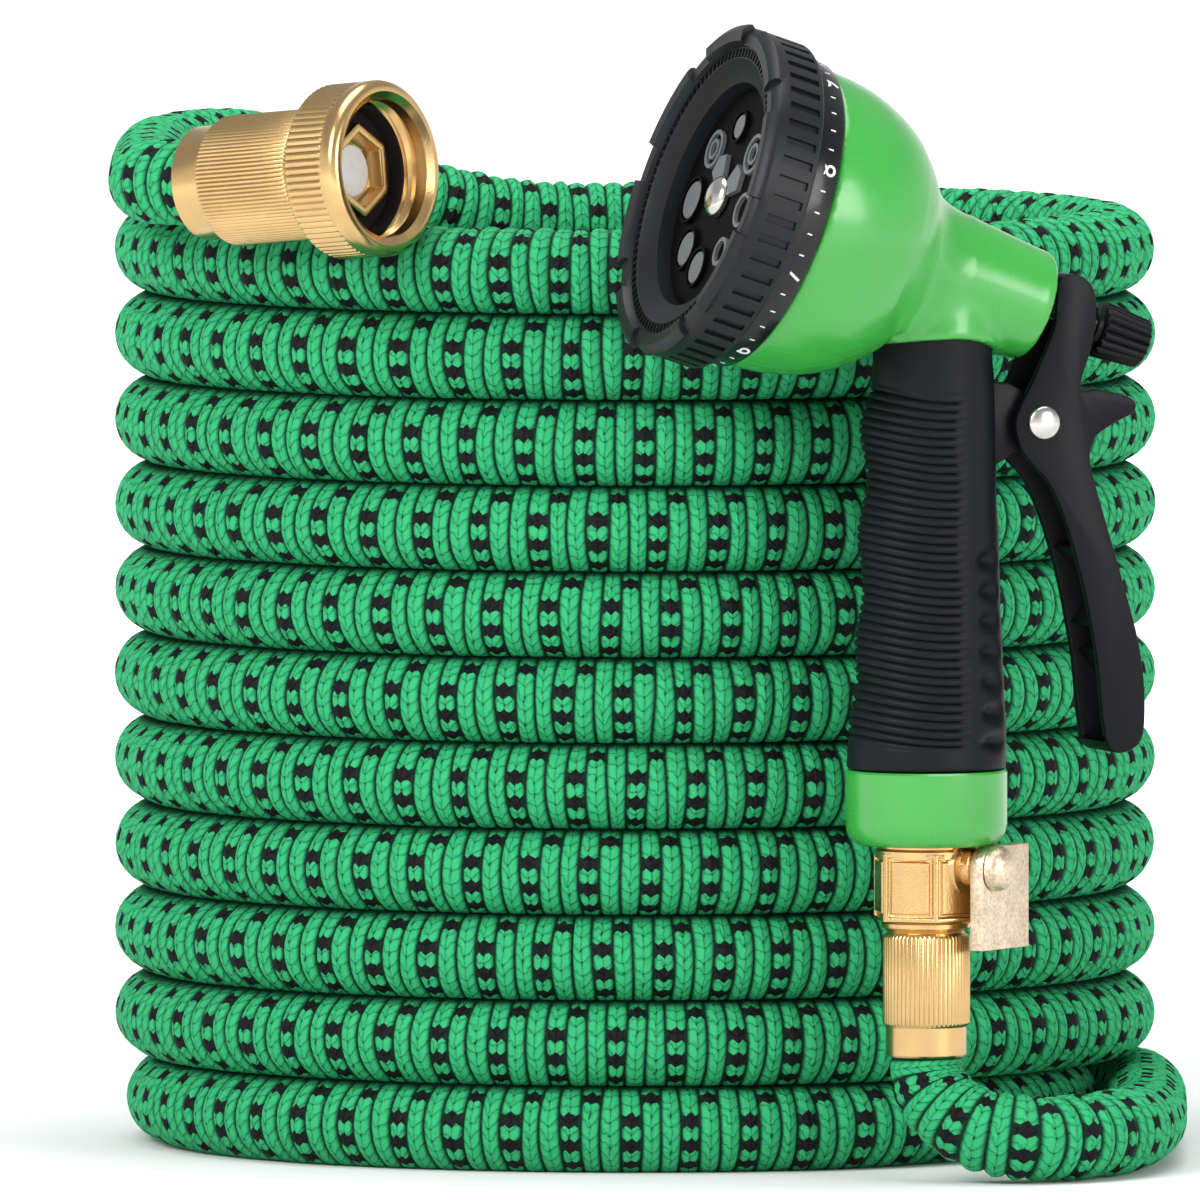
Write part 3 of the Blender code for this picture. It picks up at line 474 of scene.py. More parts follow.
# The tap coupling: a brass ferrule crimped over the hose end, and a swivel nut that a
# hexagonal tail holds captive. Both are turned from bar, knurled with straight flutes,
# and the nut's mouth is threaded, with a black rubber washer round the tail at its foot.
def along(origin, axis, side):
    """A frame at origin whose Z is axis and whose X lies towards side."""
    z_axis = Vector(axis).normalized()
    x_axis = (Vector(side) - z_axis * z_axis.dot(Vector(side))).normalized()
    turn = Matrix((x_axis, z_axis.cross(x_axis), z_axis)).transposed().to_4x4()
    return Matrix.Translation(origin) @ turn


EDGE = 0.0006
STEPS_SMALL = 48
STEPS_MEDIUM = 64
STEPS_LARGE = 96
STEPS_WIDE = 128


def spun(profile, steps, closed=True):
    """A profile in the XZ plane turned about Z; a closed one leaves a bore."""
    shape = bmesh.new()
    spots = [shape.verts.new((x, 0.0, z)) for x, z in profile]
    lines = [shape.edges.new(pair) for pair in zip(spots, spots[1:])]
    if closed:
        lines.append(shape.edges.new((spots[-1], spots[0])))
    bmesh.ops.spin(
        shape, geom=spots + lines, cent=(0, 0, 0), axis=(0, 0, 1),
        angle=2 * math.pi, steps=steps, use_merge=True,
    )
    bmesh.ops.remove_doubles(shape, verts=shape.verts, dist=1e-6)
    bmesh.ops.recalc_face_normals(shape, faces=shape.faces)
    return shape


def eased_corners(profile, radius, closed=True):
    """The profile with each corner rounded, by at most a third of the sides that meet there."""
    spots = [Vector((x, z)) for x, z in profile]
    out = []
    for index, spot in enumerate(spots):
        if not closed and index in (0, len(spots) - 1):
            out.append(spot)
            continue
        before = spots[index - 1] - spot
        after = spots[(index + 1) % len(spots)] - spot
        reach = min(radius, before.length / 3, after.length / 3)
        low = spot + before.normalized() * reach
        high = spot + after.normalized() * reach
        out += [low, (low + 2 * spot + high) / 4, high]
    return [tuple(spot) for spot in out]


def flute(shape, radius, low, high, count, depth):
    """Cuts straight flutes into the band of this radius between two heights."""
    for corner in shape.verts:
        reach = math.hypot(corner.co.x, corner.co.y)
        if low <= corner.co.z <= high and abs(reach - radius) < 1e-5:
            turn = math.atan2(corner.co.y, corner.co.x) * count / (2 * math.pi)
            share = abs(turn % 1 - 0.5) * 2
            scale = 1 - depth * share**2 / reach
            corner.co.x *= scale
            corner.co.y *= scale


def bevelled(shape, edges, width, segments=2):
    """Rounds these edges."""
    bmesh.ops.bevel(
        shape, geom=edges, offset=width, segments=segments, profile=0.5,
        affect="EDGES", material=-1, clamp_overlap=True,
    )


def settle(name, shape, place, material, body, nodes, sharp=35):
    """Makes the mesh, sets it in place and hands it to its body; returns the object."""
    bmesh.ops.transform(shape, matrix=place, verts=shape.verts)
    mesh = bpy.data.meshes.new(name)
    shape.to_mesh(mesh)
    shape.free()
    mesh.shade_smooth()
    mesh.set_sharp_from_angle(angle=math.radians(sharp))
    made = bpy.data.objects.new(name, mesh)
    bpy.context.scene.collection.objects.link(made)
    mesh.materials.append(material)
    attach(made, body)
    if nodes:
        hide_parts(*nodes)
    return made


def brass_material(name, colour, scratches):
    """Turned brass: bright, a little uneven in random darker patches, with fine tool marks."""
    made, shader, start = finish(name, Metallic=1.0)
    place = start.node("ShaderNodeTexCoord", output=3)
    cloud = start.node("ShaderNodeTexNoise", Vector=place, Scale=140.0, Detail=3.0)
    grain = start.node("ShaderNodeTexNoise", Vector=place, Scale=2600.0, Detail=2.0)
    dull = tuple(c * 0.72 for c in colour)
    wire(shader, "Base Color", cloud.blend(colour, dull))
    wire(shader, "Roughness", cloud * 0.16 + 0.15)
    bump = start.node("ShaderNodeBump", Strength=scratches, Distance=0.00012, Height=grain)
    wire(shader, "Normal", bump)
    return made


tap_joint = joints["swivel_nut_turn"]
tap_place = along(tap_joint["pos_m"], tap_joint["axis"], (0.6, 0.8, 0.0))
TAP_COLLAR_LENGTH = 0.0076
TAP_COLLAR_RADIUS = 0.0113
TAP_SLEEVE_LENGTH = 0.0225
TAP_SLEEVE_RADIUS = 0.0130
TAP_BORE_RADIUS = 0.0042
SLEEVE_FLUTES = 92
NUT_FLUTES = 72
NUT_START = 0.0306
NUT_LENGTH = 0.0155
NUT_RADIUS = 0.0175
NUT_SHOULDER = 0.0028
NUT_RIM = 0.0040
NUT_BACK_WALL = 0.0025
NUT_NECK_RADIUS = 0.0093
THREAD_RADIUS = 0.0136
THREAD_PITCH = 0.00221
THREAD_DEPTH = 0.0013
THREAD_START = 0.0066
FLUTE_DEPTH = 0.00034
NUT_FLUTE_DEPTH = FLUTE_DEPTH * 1.4
BRASS = linear(228, 190, 130)
brass = brass_material("brass", BRASS, scratches=0.15)

sleeve_top = TAP_COLLAR_LENGTH + TAP_SLEEVE_LENGTH
shape = spun(
    [
        (TAP_BORE_RADIUS, sleeve_top),
        (TAP_SLEEVE_RADIUS - 0.0010, sleeve_top),
        (TAP_SLEEVE_RADIUS - FLUTE_DEPTH, sleeve_top - 0.0004),
        (TAP_SLEEVE_RADIUS, sleeve_top - 0.0009),
        (TAP_SLEEVE_RADIUS, TAP_COLLAR_LENGTH + 0.0007),
        (TAP_SLEEVE_RADIUS - FLUTE_DEPTH, TAP_COLLAR_LENGTH + 0.0001),
        (TAP_COLLAR_RADIUS + 0.0002, TAP_COLLAR_LENGTH - 0.0002),
        (TAP_COLLAR_RADIUS, TAP_COLLAR_LENGTH - EDGE),
        (TAP_COLLAR_RADIUS, EDGE),
        (TAP_COLLAR_RADIUS - EDGE, 0.0),
        (TAP_BORE_RADIUS, 0.0),
    ],
    SLEEVE_FLUTES * 4,
)
flute(shape, TAP_SLEEVE_RADIUS, 0.0, sleeve_top, SLEEVE_FLUTES, FLUTE_DEPTH)
settle("ferrule", shape, tap_place, brass, "hose", ["tap_ferrule"])

nut_top = NUT_START + NUT_LENGTH
thread = []
turns = int((NUT_LENGTH - THREAD_START - 0.0010) / THREAD_PITCH)
for turn in range(turns * 2):
    depth = 0.0 if turn % 2 else THREAD_DEPTH
    height = NUT_START + THREAD_START + turn * THREAD_PITCH / 2
    thread.append((THREAD_RADIUS + depth, height))
shape = spun(
    [
        (THREAD_RADIUS + 0.0016, nut_top),
        (NUT_RADIUS - 0.0016, nut_top),
        (NUT_RADIUS - 0.0009, nut_top - 0.0002),
        (NUT_RADIUS - 0.0002, nut_top - 0.0009),
        (NUT_RADIUS, nut_top - 0.0016),
        (NUT_RADIUS, nut_top - NUT_RIM + EDGE),
        (NUT_RADIUS - 0.0003, nut_top - NUT_RIM),
        (NUT_RADIUS - 0.0001, nut_top - NUT_RIM - 0.0005),
        (NUT_RADIUS - 0.0001, NUT_START + NUT_SHOULDER + 0.0005),
        (NUT_RADIUS - 0.0005, NUT_START + NUT_SHOULDER),
        (NUT_RADIUS - 0.0010, NUT_START + NUT_SHOULDER * 0.80),
        (NUT_RADIUS - 0.0028, NUT_START + NUT_SHOULDER * 0.30),
        (NUT_RADIUS - 0.0038, NUT_START),
        (NUT_NECK_RADIUS, NUT_START),
        (NUT_NECK_RADIUS, NUT_START + NUT_BACK_WALL),
        (THREAD_RADIUS, NUT_START + NUT_BACK_WALL),
        *thread,
        (THREAD_RADIUS + 0.0002, nut_top - 0.0010),
    ],
    NUT_FLUTES * 4,
)
flute(shape, NUT_RADIUS - 0.0001, 0.0, nut_top, NUT_FLUTES, NUT_FLUTE_DEPTH)
settle("swivel_nut", shape, tap_place, brass, "swivel_nut", ["tap_swivel_nut"])

TAIL_RADIUS = 0.0088
FLANGE_RADIUS = THREAD_RADIUS - 0.0005
FLANGE_THICKNESS = 0.0018
TAIL_GAP = 0.0005
HEX_RADIUS = 0.0094
HEX_HEIGHT = 0.0042
HEX_WALL = 0.0020
HEX_RECESS = 0.0030
flange_foot = NUT_START + NUT_BACK_WALL + TAIL_GAP
flange_top = flange_foot + FLANGE_THICKNESS
shape = spun(
    eased_corners(
        [
            (TAP_BORE_RADIUS, flange_top),
            (FLANGE_RADIUS, flange_top),
            (FLANGE_RADIUS, flange_foot),
            (TAIL_RADIUS, flange_foot),
            (TAIL_RADIUS, sleeve_top + 0.0003),
            (TAP_BORE_RADIUS, sleeve_top + 0.0003),
        ],
        radius=0.0003,
    ),
    STEPS_MEDIUM,
)
settle("tail_flange", shape, tap_place, brass, "hose", ["tap_insert"])
shape = bmesh.new()
bmesh.ops.create_cone(
    shape, cap_ends=True, segments=6, radius1=HEX_RADIUS, radius2=HEX_RADIUS, depth=HEX_HEIGHT
)
bmesh.ops.translate(shape, verts=shape.verts, vec=(0.0, 0.0, flange_top + HEX_HEIGHT / 2))
top_face = max(shape.faces, key=lambda face: face.calc_center_median().z)
bmesh.ops.inset_region(shape, faces=[top_face], thickness=HEX_WALL, depth=0.0)
bmesh.ops.inset_region(shape, faces=[top_face], thickness=EDGE, depth=-HEX_RECESS)
bevelled(shape, list(shape.edges), 0.0004)
settle("tail_hexagon", shape, tap_place, brass, "hose", [])

liner, shader, start = finish("liner", Roughness=0.45)
place = start.node("ShaderNodeTexCoord", output=3)
milk = start.node("ShaderNodeTexNoise", Vector=place, Scale=300.0)
wire(shader, "Base Color", milk.blend((0.62, 0.60, 0.58), (0.80, 0.79, 0.77)))
LINER_PROFILE = ((0.0, 0.0012), (0.0034, 0.0010), (0.0050, 0.0004), (0.0052, 0.0), (0.0, 0.0))
shape = spun(LINER_PROFILE, STEPS_SMALL, closed=False)
liner_foot = flange_top + HEX_HEIGHT - HEX_RECESS + 0.0001
bmesh.ops.translate(shape, verts=shape.verts, vec=(0.0, 0.0, liner_foot))
settle("tail_liner", shape, tap_place, liner, "hose", [])

rubber, shader, start = finish("washer_rubber", Roughness=0.55, Specular_IOR_Level=0.2)
place = start.node("ShaderNodeTexCoord", output=3)
speck = start.node("ShaderNodeTexNoise", Vector=place, Scale=900.0)
wire(shader, "Base Color", speck.blend((0.004, 0.003, 0.003), (0.014, 0.011, 0.011)))
WASHER_BORE = HEX_RADIUS + 0.0002
WASHER_FLOOR = 0.0122
WASHER_LIP = 0.0126
WASHER_RADIUS = 0.0132
washer_foot = flange_top + 0.0003
washer_lip = flange_top + 0.0046
shape = spun(
    eased_corners(
        [
            (WASHER_BORE, flange_top + 0.0012),
            (WASHER_FLOOR, flange_top + 0.0014),
            (WASHER_LIP, washer_lip),
            (WASHER_RADIUS, washer_lip),
            (WASHER_RADIUS, washer_foot),
            (WASHER_BORE, washer_foot),
        ],
        radius=0.0003,
    ),
    STEPS_MEDIUM,
)
settle("washer", shape, tap_place, rubber, "hose", ["tap_washer"])


# The shut-off valve: a knurled brass ferrule, a hexagonal forged body with cast ribs on
# its faces, a turned neck, and a nickel lever plate that a domed screw holds to the stem.
lever_joint = joints["shut_off_turn"]
valve_foot = Vector((lever_joint["pos_m"][0], lever_joint["pos_m"][1], 0.0))
valve_place = Matrix.Translation(valve_foot)
VALVE_FLUTES = 54
FERRULE_FOOT = 0.0246
FERRULE_COLLAR = 0.0062
FERRULE_TOP = 0.0487
FERRULE_KNURL_RADIUS = 0.00865
FERRULE_COLLAR_RADIUS = 0.0080
FERRULE_NECK_RADIUS = 0.0089
VALVE_FLUTE_DEPTH = 0.00030
HEX_FOOT = 0.0516
HEX_TOP = 0.0662
HEX_BODY_RADIUS = 0.0111
HEX_BODY_TURN = math.radians(10)
HEX_CHAMFER = 0.0006
HEX_RIB_INSETS = ((0.0010, 0.0), (0.0003, -0.0006), (0.0008, 0.0), (0.0003, 0.0007))
VALVE_NECK_PROFILE = (
    (0.0, 0.0760), (0.0115, 0.0760), (0.0122, 0.0750), (0.0122, 0.0672), (0.0095, 0.0668),
    (0.0095, 0.0659), (0.0102, 0.0654), (0.0102, 0.0640), (0.0, 0.0640),
)
cast_brass = brass_material("cast_brass", BRASS, scratches=0.7)
knurl_foot = FERRULE_FOOT + FERRULE_COLLAR
shape = spun(
    [
        (0.0, HEX_FOOT - 0.0002),
        (0.0086, HEX_FOOT - 0.0002),
        (FERRULE_NECK_RADIUS, HEX_FOOT - EDGE),
        (FERRULE_NECK_RADIUS, FERRULE_TOP + 0.0015),
        (0.0080, FERRULE_TOP + 0.0009),
        (0.0078, FERRULE_TOP + 0.0005),
        (0.0083, FERRULE_TOP),
        (FERRULE_KNURL_RADIUS, FERRULE_TOP - EDGE),
        (FERRULE_KNURL_RADIUS, knurl_foot + 0.0005),
        (FERRULE_KNURL_RADIUS - 0.0004, knurl_foot),
        (FERRULE_COLLAR_RADIUS, knurl_foot - 0.0003),
        (FERRULE_COLLAR_RADIUS, FERRULE_FOOT + 0.0004),
        (FERRULE_COLLAR_RADIUS - 0.0004, FERRULE_FOOT),
        (0.0, FERRULE_FOOT),
    ],
    VALVE_FLUTES * 4,
    closed=False,
)
flute(shape, FERRULE_KNURL_RADIUS, knurl_foot, FERRULE_TOP, VALVE_FLUTES, VALVE_FLUTE_DEPTH)
settle("valve_sleeve", shape, valve_place, brass, "hose", ["valve_ferrule"])

shape = bmesh.new()
bmesh.ops.create_cone(
    shape, cap_ends=True, segments=6, radius1=HEX_BODY_RADIUS, radius2=HEX_BODY_RADIUS,
    depth=HEX_TOP - HEX_FOOT - 2 * HEX_CHAMFER,
)
sides = [face for face in shape.faces if abs(face.normal.z) < 0.1]
for side in sides:
    for thickness, depth in HEX_RIB_INSETS:
        bmesh.ops.inset_region(shape, faces=[side], thickness=thickness, depth=depth)
corner_edges = [
    edge for edge in shape.edges
    if abs(edge.verts[0].co.z - edge.verts[1].co.z) > 0.010 and edge.calc_face_angle(0) > 0.5
]
bevelled(shape, corner_edges, 0.0009, 3)
bmesh.ops.rotate(
    shape, verts=shape.verts, cent=(0, 0, 0), matrix=Matrix.Rotation(HEX_BODY_TURN, 3, "Z")
)
bmesh.ops.translate(shape, verts=shape.verts, vec=(0, 0, (HEX_TOP + HEX_FOOT) / 2 - HEX_CHAMFER))
body = settle("valve_hexagon", shape, valve_place, cast_brass, "hose", ["valve_body"])
soften = body.modifiers.new("soften", "BEVEL")
soften.width = 0.00025
soften.segments = 2
soften.limit_method = "ANGLE"
soften.angle_limit = math.radians(25)
shape = spun(VALVE_NECK_PROFILE, STEPS_LARGE, closed=False)
settle("valve_neck", shape, valve_place, brass, "hose", [])

lever_axis = -Vector(lever_joint["axis"])
lever_place = along(lever_joint["pos_m"], lever_axis, lever_axis.cross((0, 0, 1)) * -1)
STEM_REACH = 0.0120
STEM_RADIUS = 0.0040
BOSS_RADIUS = 0.0058
BOSS_REACH = 0.0094
BOSS_FOOT = 0.0060
LEVER_FOOT = STEM_REACH + 0.0003
LEVER_THICKNESS = 0.0030
shape = spun(
    [
        (0.0, STEM_REACH),
        (STEM_RADIUS - EDGE, STEM_REACH),
        (STEM_RADIUS, STEM_REACH - EDGE),
        (STEM_RADIUS, BOSS_REACH + 0.0004),
        (BOSS_RADIUS - 0.0002, BOSS_REACH),
        (BOSS_RADIUS, BOSS_REACH - EDGE),
        (BOSS_RADIUS, BOSS_FOOT),
        (0.0, BOSS_FOOT),
    ],
    STEPS_SMALL,
    closed=False,
)
settle("stem_boss", shape, lever_place, cast_brass, "hose", [])


def nickel_material():
    """Warm nickel plate over sand-cast metal: a pebbled face, its colour darker where the pebble bump
    sinks and in random patches.
    """
    made, shader, start = finish("cast_nickel", Metallic=1.0)
    place = start.node("ShaderNodeTexCoord", output=3)
    pebble = start.node("ShaderNodeTexNoise", Vector=place, Scale=1500.0, Detail=3.0)
    cloud = start.node("ShaderNodeTexNoise", Vector=place, Scale=220.0, Detail=2.0)
    tone = pebble * 0.6 + cloud * 0.4
    plate_colour = tone.between(0.3, 0.65).blend(linear(196, 172, 142), linear(234, 218, 192))
    wire(shader, "Base Color", plate_colour)
    wire(shader, "Roughness", cloud * 0.2 + 0.30)
    bump = start.node("ShaderNodeBump", Strength=0.75, Distance=0.00020, Height=pebble)
    wire(shader, "Normal", bump)
    return made


nickel = nickel_material()
LEVER_NEAR = 0.0043
LEVER_FAR = 0.0142
LEVER_TOP = 0.0043
LEVER_LENGTH = 0.0205
LEVER_CORNER_STEPS = 12
lever_tip = LEVER_TOP - LEVER_LENGTH
outline = [(-LEVER_NEAR, lever_tip), (LEVER_FAR, lever_tip), (LEVER_FAR, LEVER_TOP)]
for step in range(LEVER_CORNER_STEPS + 1):
    angle = math.pi / 2 + step * math.pi / 2 / LEVER_CORNER_STEPS
    outline.append((LEVER_NEAR * math.cos(angle), LEVER_TOP * math.sin(angle)))


def plate(outline, low, high):
    """A flat outline in XY made solid between two heights."""
    shape = bmesh.new()
    face = shape.faces.new([shape.verts.new((x, y, low)) for x, y in outline])
    grown = bmesh.ops.extrude_face_region(shape, geom=[face])["geom"]
    tops = [item for item in grown if isinstance(item, bmesh.types.BMVert)]
    bmesh.ops.translate(shape, verts=tops, vec=(0.0, 0.0, high - low))
    bmesh.ops.recalc_face_normals(shape, faces=shape.faces)
    return shape


def dome(radius, foot, rise, steps):
    """The profile of a domed head, from its top down to its rim."""
    profile = [(0.0, foot + rise)]
    for step in range(1, steps + 1):
        angle = math.pi / 2 * (1 - step / steps)
        profile.append((radius * math.cos(angle), foot + rise * math.sin(angle)))
    return profile


shape = plate(outline, LEVER_FOOT, LEVER_FOOT + LEVER_THICKNESS)
bevelled(shape, list(shape.edges), 0.00035)
settle(
    "lever_plate", shape, lever_place, nickel, "shut_off_lever", ["valve_lever"]
)
screw_foot = LEVER_FOOT + LEVER_THICKNESS + 0.0003
LEVER_SCREW_RADIUS = 0.0045
LEVER_SCREW_RIM = 0.0008
LEVER_SCREW_DOME = 0.0030
head = dome(LEVER_SCREW_RADIUS, screw_foot + LEVER_SCREW_RIM, LEVER_SCREW_DOME, 8)
head += [(LEVER_SCREW_RADIUS, screw_foot), (0.0, screw_foot)]
settle(
    "lever_dome", spun(head, STEPS_SMALL, closed=False), lever_place, nickel, "shut_off_lever",
    ["lever_screw"],
)


# The nozzle's body: one glossy green moulding, a bell that the dial turns on, a barrel
# for the flow stem, and a short neck that takes the rubber grip's top. The bell and the
# neck are joined under one skin, which is smoothed where they meet, as in the mould.
def moulded_material(name, colour, roughness, speckle, coat=0.0, gloss=0.5):
    """Moulded plastic: an even colour with a faint cloud, and a fine skin to the surface."""
    made, shader, start = finish(
        name, Coat_Weight=coat, Coat_Roughness=0.17, Specular_IOR_Level=gloss
    )
    place = start.node("ShaderNodeTexCoord", output=3)
    cloud = start.node("ShaderNodeTexNoise", Vector=place, Scale=45.0, Detail=2.0)
    skin = start.node("ShaderNodeTexNoise", Vector=place, Scale=2200.0, Detail=1.0)
    low = tuple(c * 0.86 for c in colour)
    high = tuple(min(1.0, c * 1.10) for c in colour)
    wire(shader, "Base Color", cloud.blend(low, high))
    wire(shader, "Roughness", cloud * 0.08 + roughness)
    wire(
        shader, "Normal",
        start.node("ShaderNodeBump", Strength=speckle, Distance=0.0001, Height=skin),
    )
    return made


dial_joint = joints["dial_turn"]
trigger_joint = joints["trigger_squeeze"]
nozzle_side = Vector(trigger_joint["axis"])
nozzle_ahead = nozzle_side.cross((0.0, 0.0, 1.0))
nozzle_place = along(valve_foot, (0, 0, 1), nozzle_ahead)
head_axis = Vector(dial_joint["axis"])
head_place = along(dial_joint["pos_m"], head_axis, nozzle_side.cross(head_axis))
BELL_START = 0.0169
BELL_LENGTH = 0.0290
BELL_RADIUS = 0.0306
BARREL_RADIUS = 0.0139
BARREL_END_RADIUS = 0.0110
BARREL_END = 0.0754
BELL_BULGE = 2.2
BELL_ROUNDING = 0.62
BELL_BLEND_FROM = 0.80
BELL_BLEND_DROP = 0.10
BARREL_FLARE = 0.0018
BARREL_FLARE_POWER = 8
BARREL_SHARES = (0.06, 0.15, 0.3, 0.5, 0.7, 0.9)
BELL_INSIDE = 0.0070
BELL_BORE_RADIUS = 0.0060
BELL_STEPS = 32
ROD_BORE_RADIUS = 0.0026
ROD_BORE_DEPTH = 0.006
NECK_RADIUS = 0.0133
NECK_FOOT = 0.1668
NECK_TOP = 0.1790
NECK_SHIFT = 0.0016
NECK_ARCH_LEFT = 0.0014
NECK_ARCH_RIGHT = 0.0036
SKIN_VOXEL = 0.0006
JOINT_FROM = 0.030
JOINT_TO = 0.073
FILLET_FROM = 0.0395
FILLET_TO = 0.0560
SKIN_PASSES = 3
JOINT_PASSES = 30
FILLET_PASSES = 110
PLASTIC_GREEN = (0.036, 0.330, 0.042)
green_plastic = moulded_material(
    "green_plastic", PLASTIC_GREEN, roughness=0.23, speckle=0.05, coat=0.45
)


def solid(name, shape):
    """A plain object from a shape: a tool for a modifier, or the floor."""
    mesh = bpy.data.meshes.new(name)
    shape.to_mesh(mesh)
    shape.free()
    made = bpy.data.objects.new(name, mesh)
    bpy.context.scene.collection.objects.link(made)
    return made


def finished_mesh(thing):
    """The object's mesh with its modifiers applied."""
    bpy.context.view_layer.update()
    graph = bpy.context.evaluated_depsgraph_get()
    return bpy.data.meshes.new_from_object(thing.evaluated_get(graph))


bell = [
    (0.0, -BELL_INSIDE),
    (BELL_BORE_RADIUS, -BELL_INSIDE),
    (BELL_BORE_RADIUS, -BELL_START),
    (BELL_RADIUS - 0.0004, -BELL_START),
]
for step in range(BELL_STEPS + 1):
    share = step / BELL_STEPS
    drop = 1 - (1 - share**BELL_BULGE) ** BELL_ROUNDING
    blend = max(0.0, (share - BELL_BLEND_FROM) / (1 - BELL_BLEND_FROM))
    radius = BELL_RADIUS + (BARREL_RADIUS - BELL_RADIUS) * (drop * (1 - BELL_BLEND_DROP * blend))
    bell.append((radius, -(BELL_START + 0.0003 + BELL_LENGTH * share)))
barrel_start = BELL_START + BELL_LENGTH
for share in BARREL_SHARES:
    flare = BARREL_FLARE * (1 - share) ** BARREL_FLARE_POWER
    radius = BARREL_RADIUS + (BARREL_END_RADIUS - BARREL_RADIUS) * share + flare
    bell.append((radius, -(barrel_start + (BARREL_END - barrel_start) * share)))
bell += [
    (BARREL_END_RADIUS, -(BARREL_END - 0.0008)),
    (BARREL_END_RADIUS - EDGE, -(BARREL_END - 0.0002)),
    (BARREL_END_RADIUS - 2 * EDGE, -BARREL_END),
    (ROD_BORE_RADIUS, -BARREL_END),
    (ROD_BORE_RADIUS, -(BARREL_END - ROD_BORE_DEPTH)),
    (0.0, -(BARREL_END - ROD_BORE_DEPTH)),
]
shape = spun(bell, STEPS_WIDE, closed=False)
body = settle(
    "nozzle_bell", shape, head_place, green_plastic, "hose", ["nozzle_body"],
    sharp=50,
)
neck = spun(
    eased_corners(
        [(0.0, NECK_TOP), (NECK_RADIUS - 0.001, NECK_TOP), (NECK_RADIUS, NECK_FOOT), (0.0, NECK_FOOT)],
        radius=0.0008,
        closed=False,
    ),
    STEPS_LARGE,
    closed=False,
)
for corner in neck.verts:
    if corner.co.z < NECK_FOOT + 0.004:
        fall = NECK_ARCH_RIGHT if corner.co.x > 0 else NECK_ARCH_LEFT
        corner.co.z -= fall * (corner.co.x / NECK_RADIUS) ** 2
bmesh.ops.translate(neck, verts=neck.verts, vec=(NECK_SHIFT, 0.0, 0.0))
bmesh.ops.transform(neck, matrix=nozzle_place, verts=neck.verts)
neck_tool = solid("neck_tool", neck)
joined = body.modifiers.new("neck", "BOOLEAN")
joined.operation = "UNION"
joined.object = neck_tool
remesh = body.modifiers.new("skin", "REMESH")
remesh.mode = "VOXEL"
remesh.voxel_size = SKIN_VOXEL
skin = finished_mesh(body)
body.modifiers.clear()
bpy.data.objects.remove(neck_tool)
shape = bmesh.new()
shape.from_mesh(skin)
to_nozzle = nozzle_place.inverted()
to_head = head_place.inverted()
near = []
for corner in shape.verts:
    spot = to_nozzle @ corner.co
    back = -(to_head @ corner.co).z
    if JOINT_FROM < back < JOINT_TO and spot.z > NECK_FOOT + 0.0012:
        near.append(corner)
axes = {"use_axis_x": True, "use_axis_y": True, "use_axis_z": True}
for _ in range(SKIN_PASSES):
    bmesh.ops.smooth_vert(shape, verts=shape.verts, factor=0.5, **axes)
for _ in range(JOINT_PASSES):
    bmesh.ops.smooth_vert(shape, verts=near, factor=0.5, **axes)
fillet = [corner for corner in near if FILLET_FROM < -(to_head @ corner.co).z < FILLET_TO]
for _ in range(FILLET_PASSES):
    bmesh.ops.smooth_vert(shape, verts=fillet, factor=0.5, **axes)
shape.to_mesh(body.data)
shape.free()
body.data.shade_smooth()

# The grip: soft rubber moulded over the handle, waved for the fingers, with fine ribs
# round its front and seven dimples down each rear edge; its lug carries the pivot.
GRIP_FOOT = 0.0816
GRIP_STATIONS = (
    (0.0000, 0.0158, 0.0150, 0.0000),
    (0.0100, 0.0157, 0.0146, 0.0002),
    (0.0170, 0.0147, 0.0140, 0.0008),
    (0.0250, 0.0148, 0.0136, 0.0004),
    (0.0360, 0.0137, 0.0130, 0.0010),
    (0.0460, 0.0142, 0.0127, 0.0003),
    (0.0580, 0.0129, 0.0122, 0.0010),
    (0.0675, 0.0137, 0.0120, 0.0002),
    (0.0770, 0.0122, 0.0117, 0.0014),
    (0.0850, 0.0116, 0.0113, 0.0014),
)
GRIP_HEIGHT = 0.0892
RIB_COUNT = 41
RIB_FIRST = 0.0050
RIB_LAST = 0.0765
RIB_DEPTH = 0.00065
RIB_SWEEP = 0.0022
RIB_STEPS = 5
RIB_BEARING = math.radians(94)
RIB_FADE = math.radians(10)
SWEEP_EASE = 0.008
GRIP_SIDES = 80
GRIP_FOOT_DRAFT = 0.985
DIMPLES = 7
DIMPLE_FIRST = 0.0075
DIMPLE_PITCH = 0.0060
DIMPLE_BEARING = math.radians(130)
DIMPLE_SPREAD = math.radians(12)
DIMPLE_HEIGHT = 0.0016
DIMPLE_DEPTH = 0.0018


def station(height):
    """The grip's half depth, half width and shift at a height, eased between stations."""
    for low, high in zip(GRIP_STATIONS, GRIP_STATIONS[1:]):
        if height <= high[0]:
            share = eased(max(0.0, (height - low[0]) / (high[0] - low[0])))
            return [a + (b - a) * share for a, b in zip(low[1:], high[1:])]
    return GRIP_STATIONS[-1][1:]


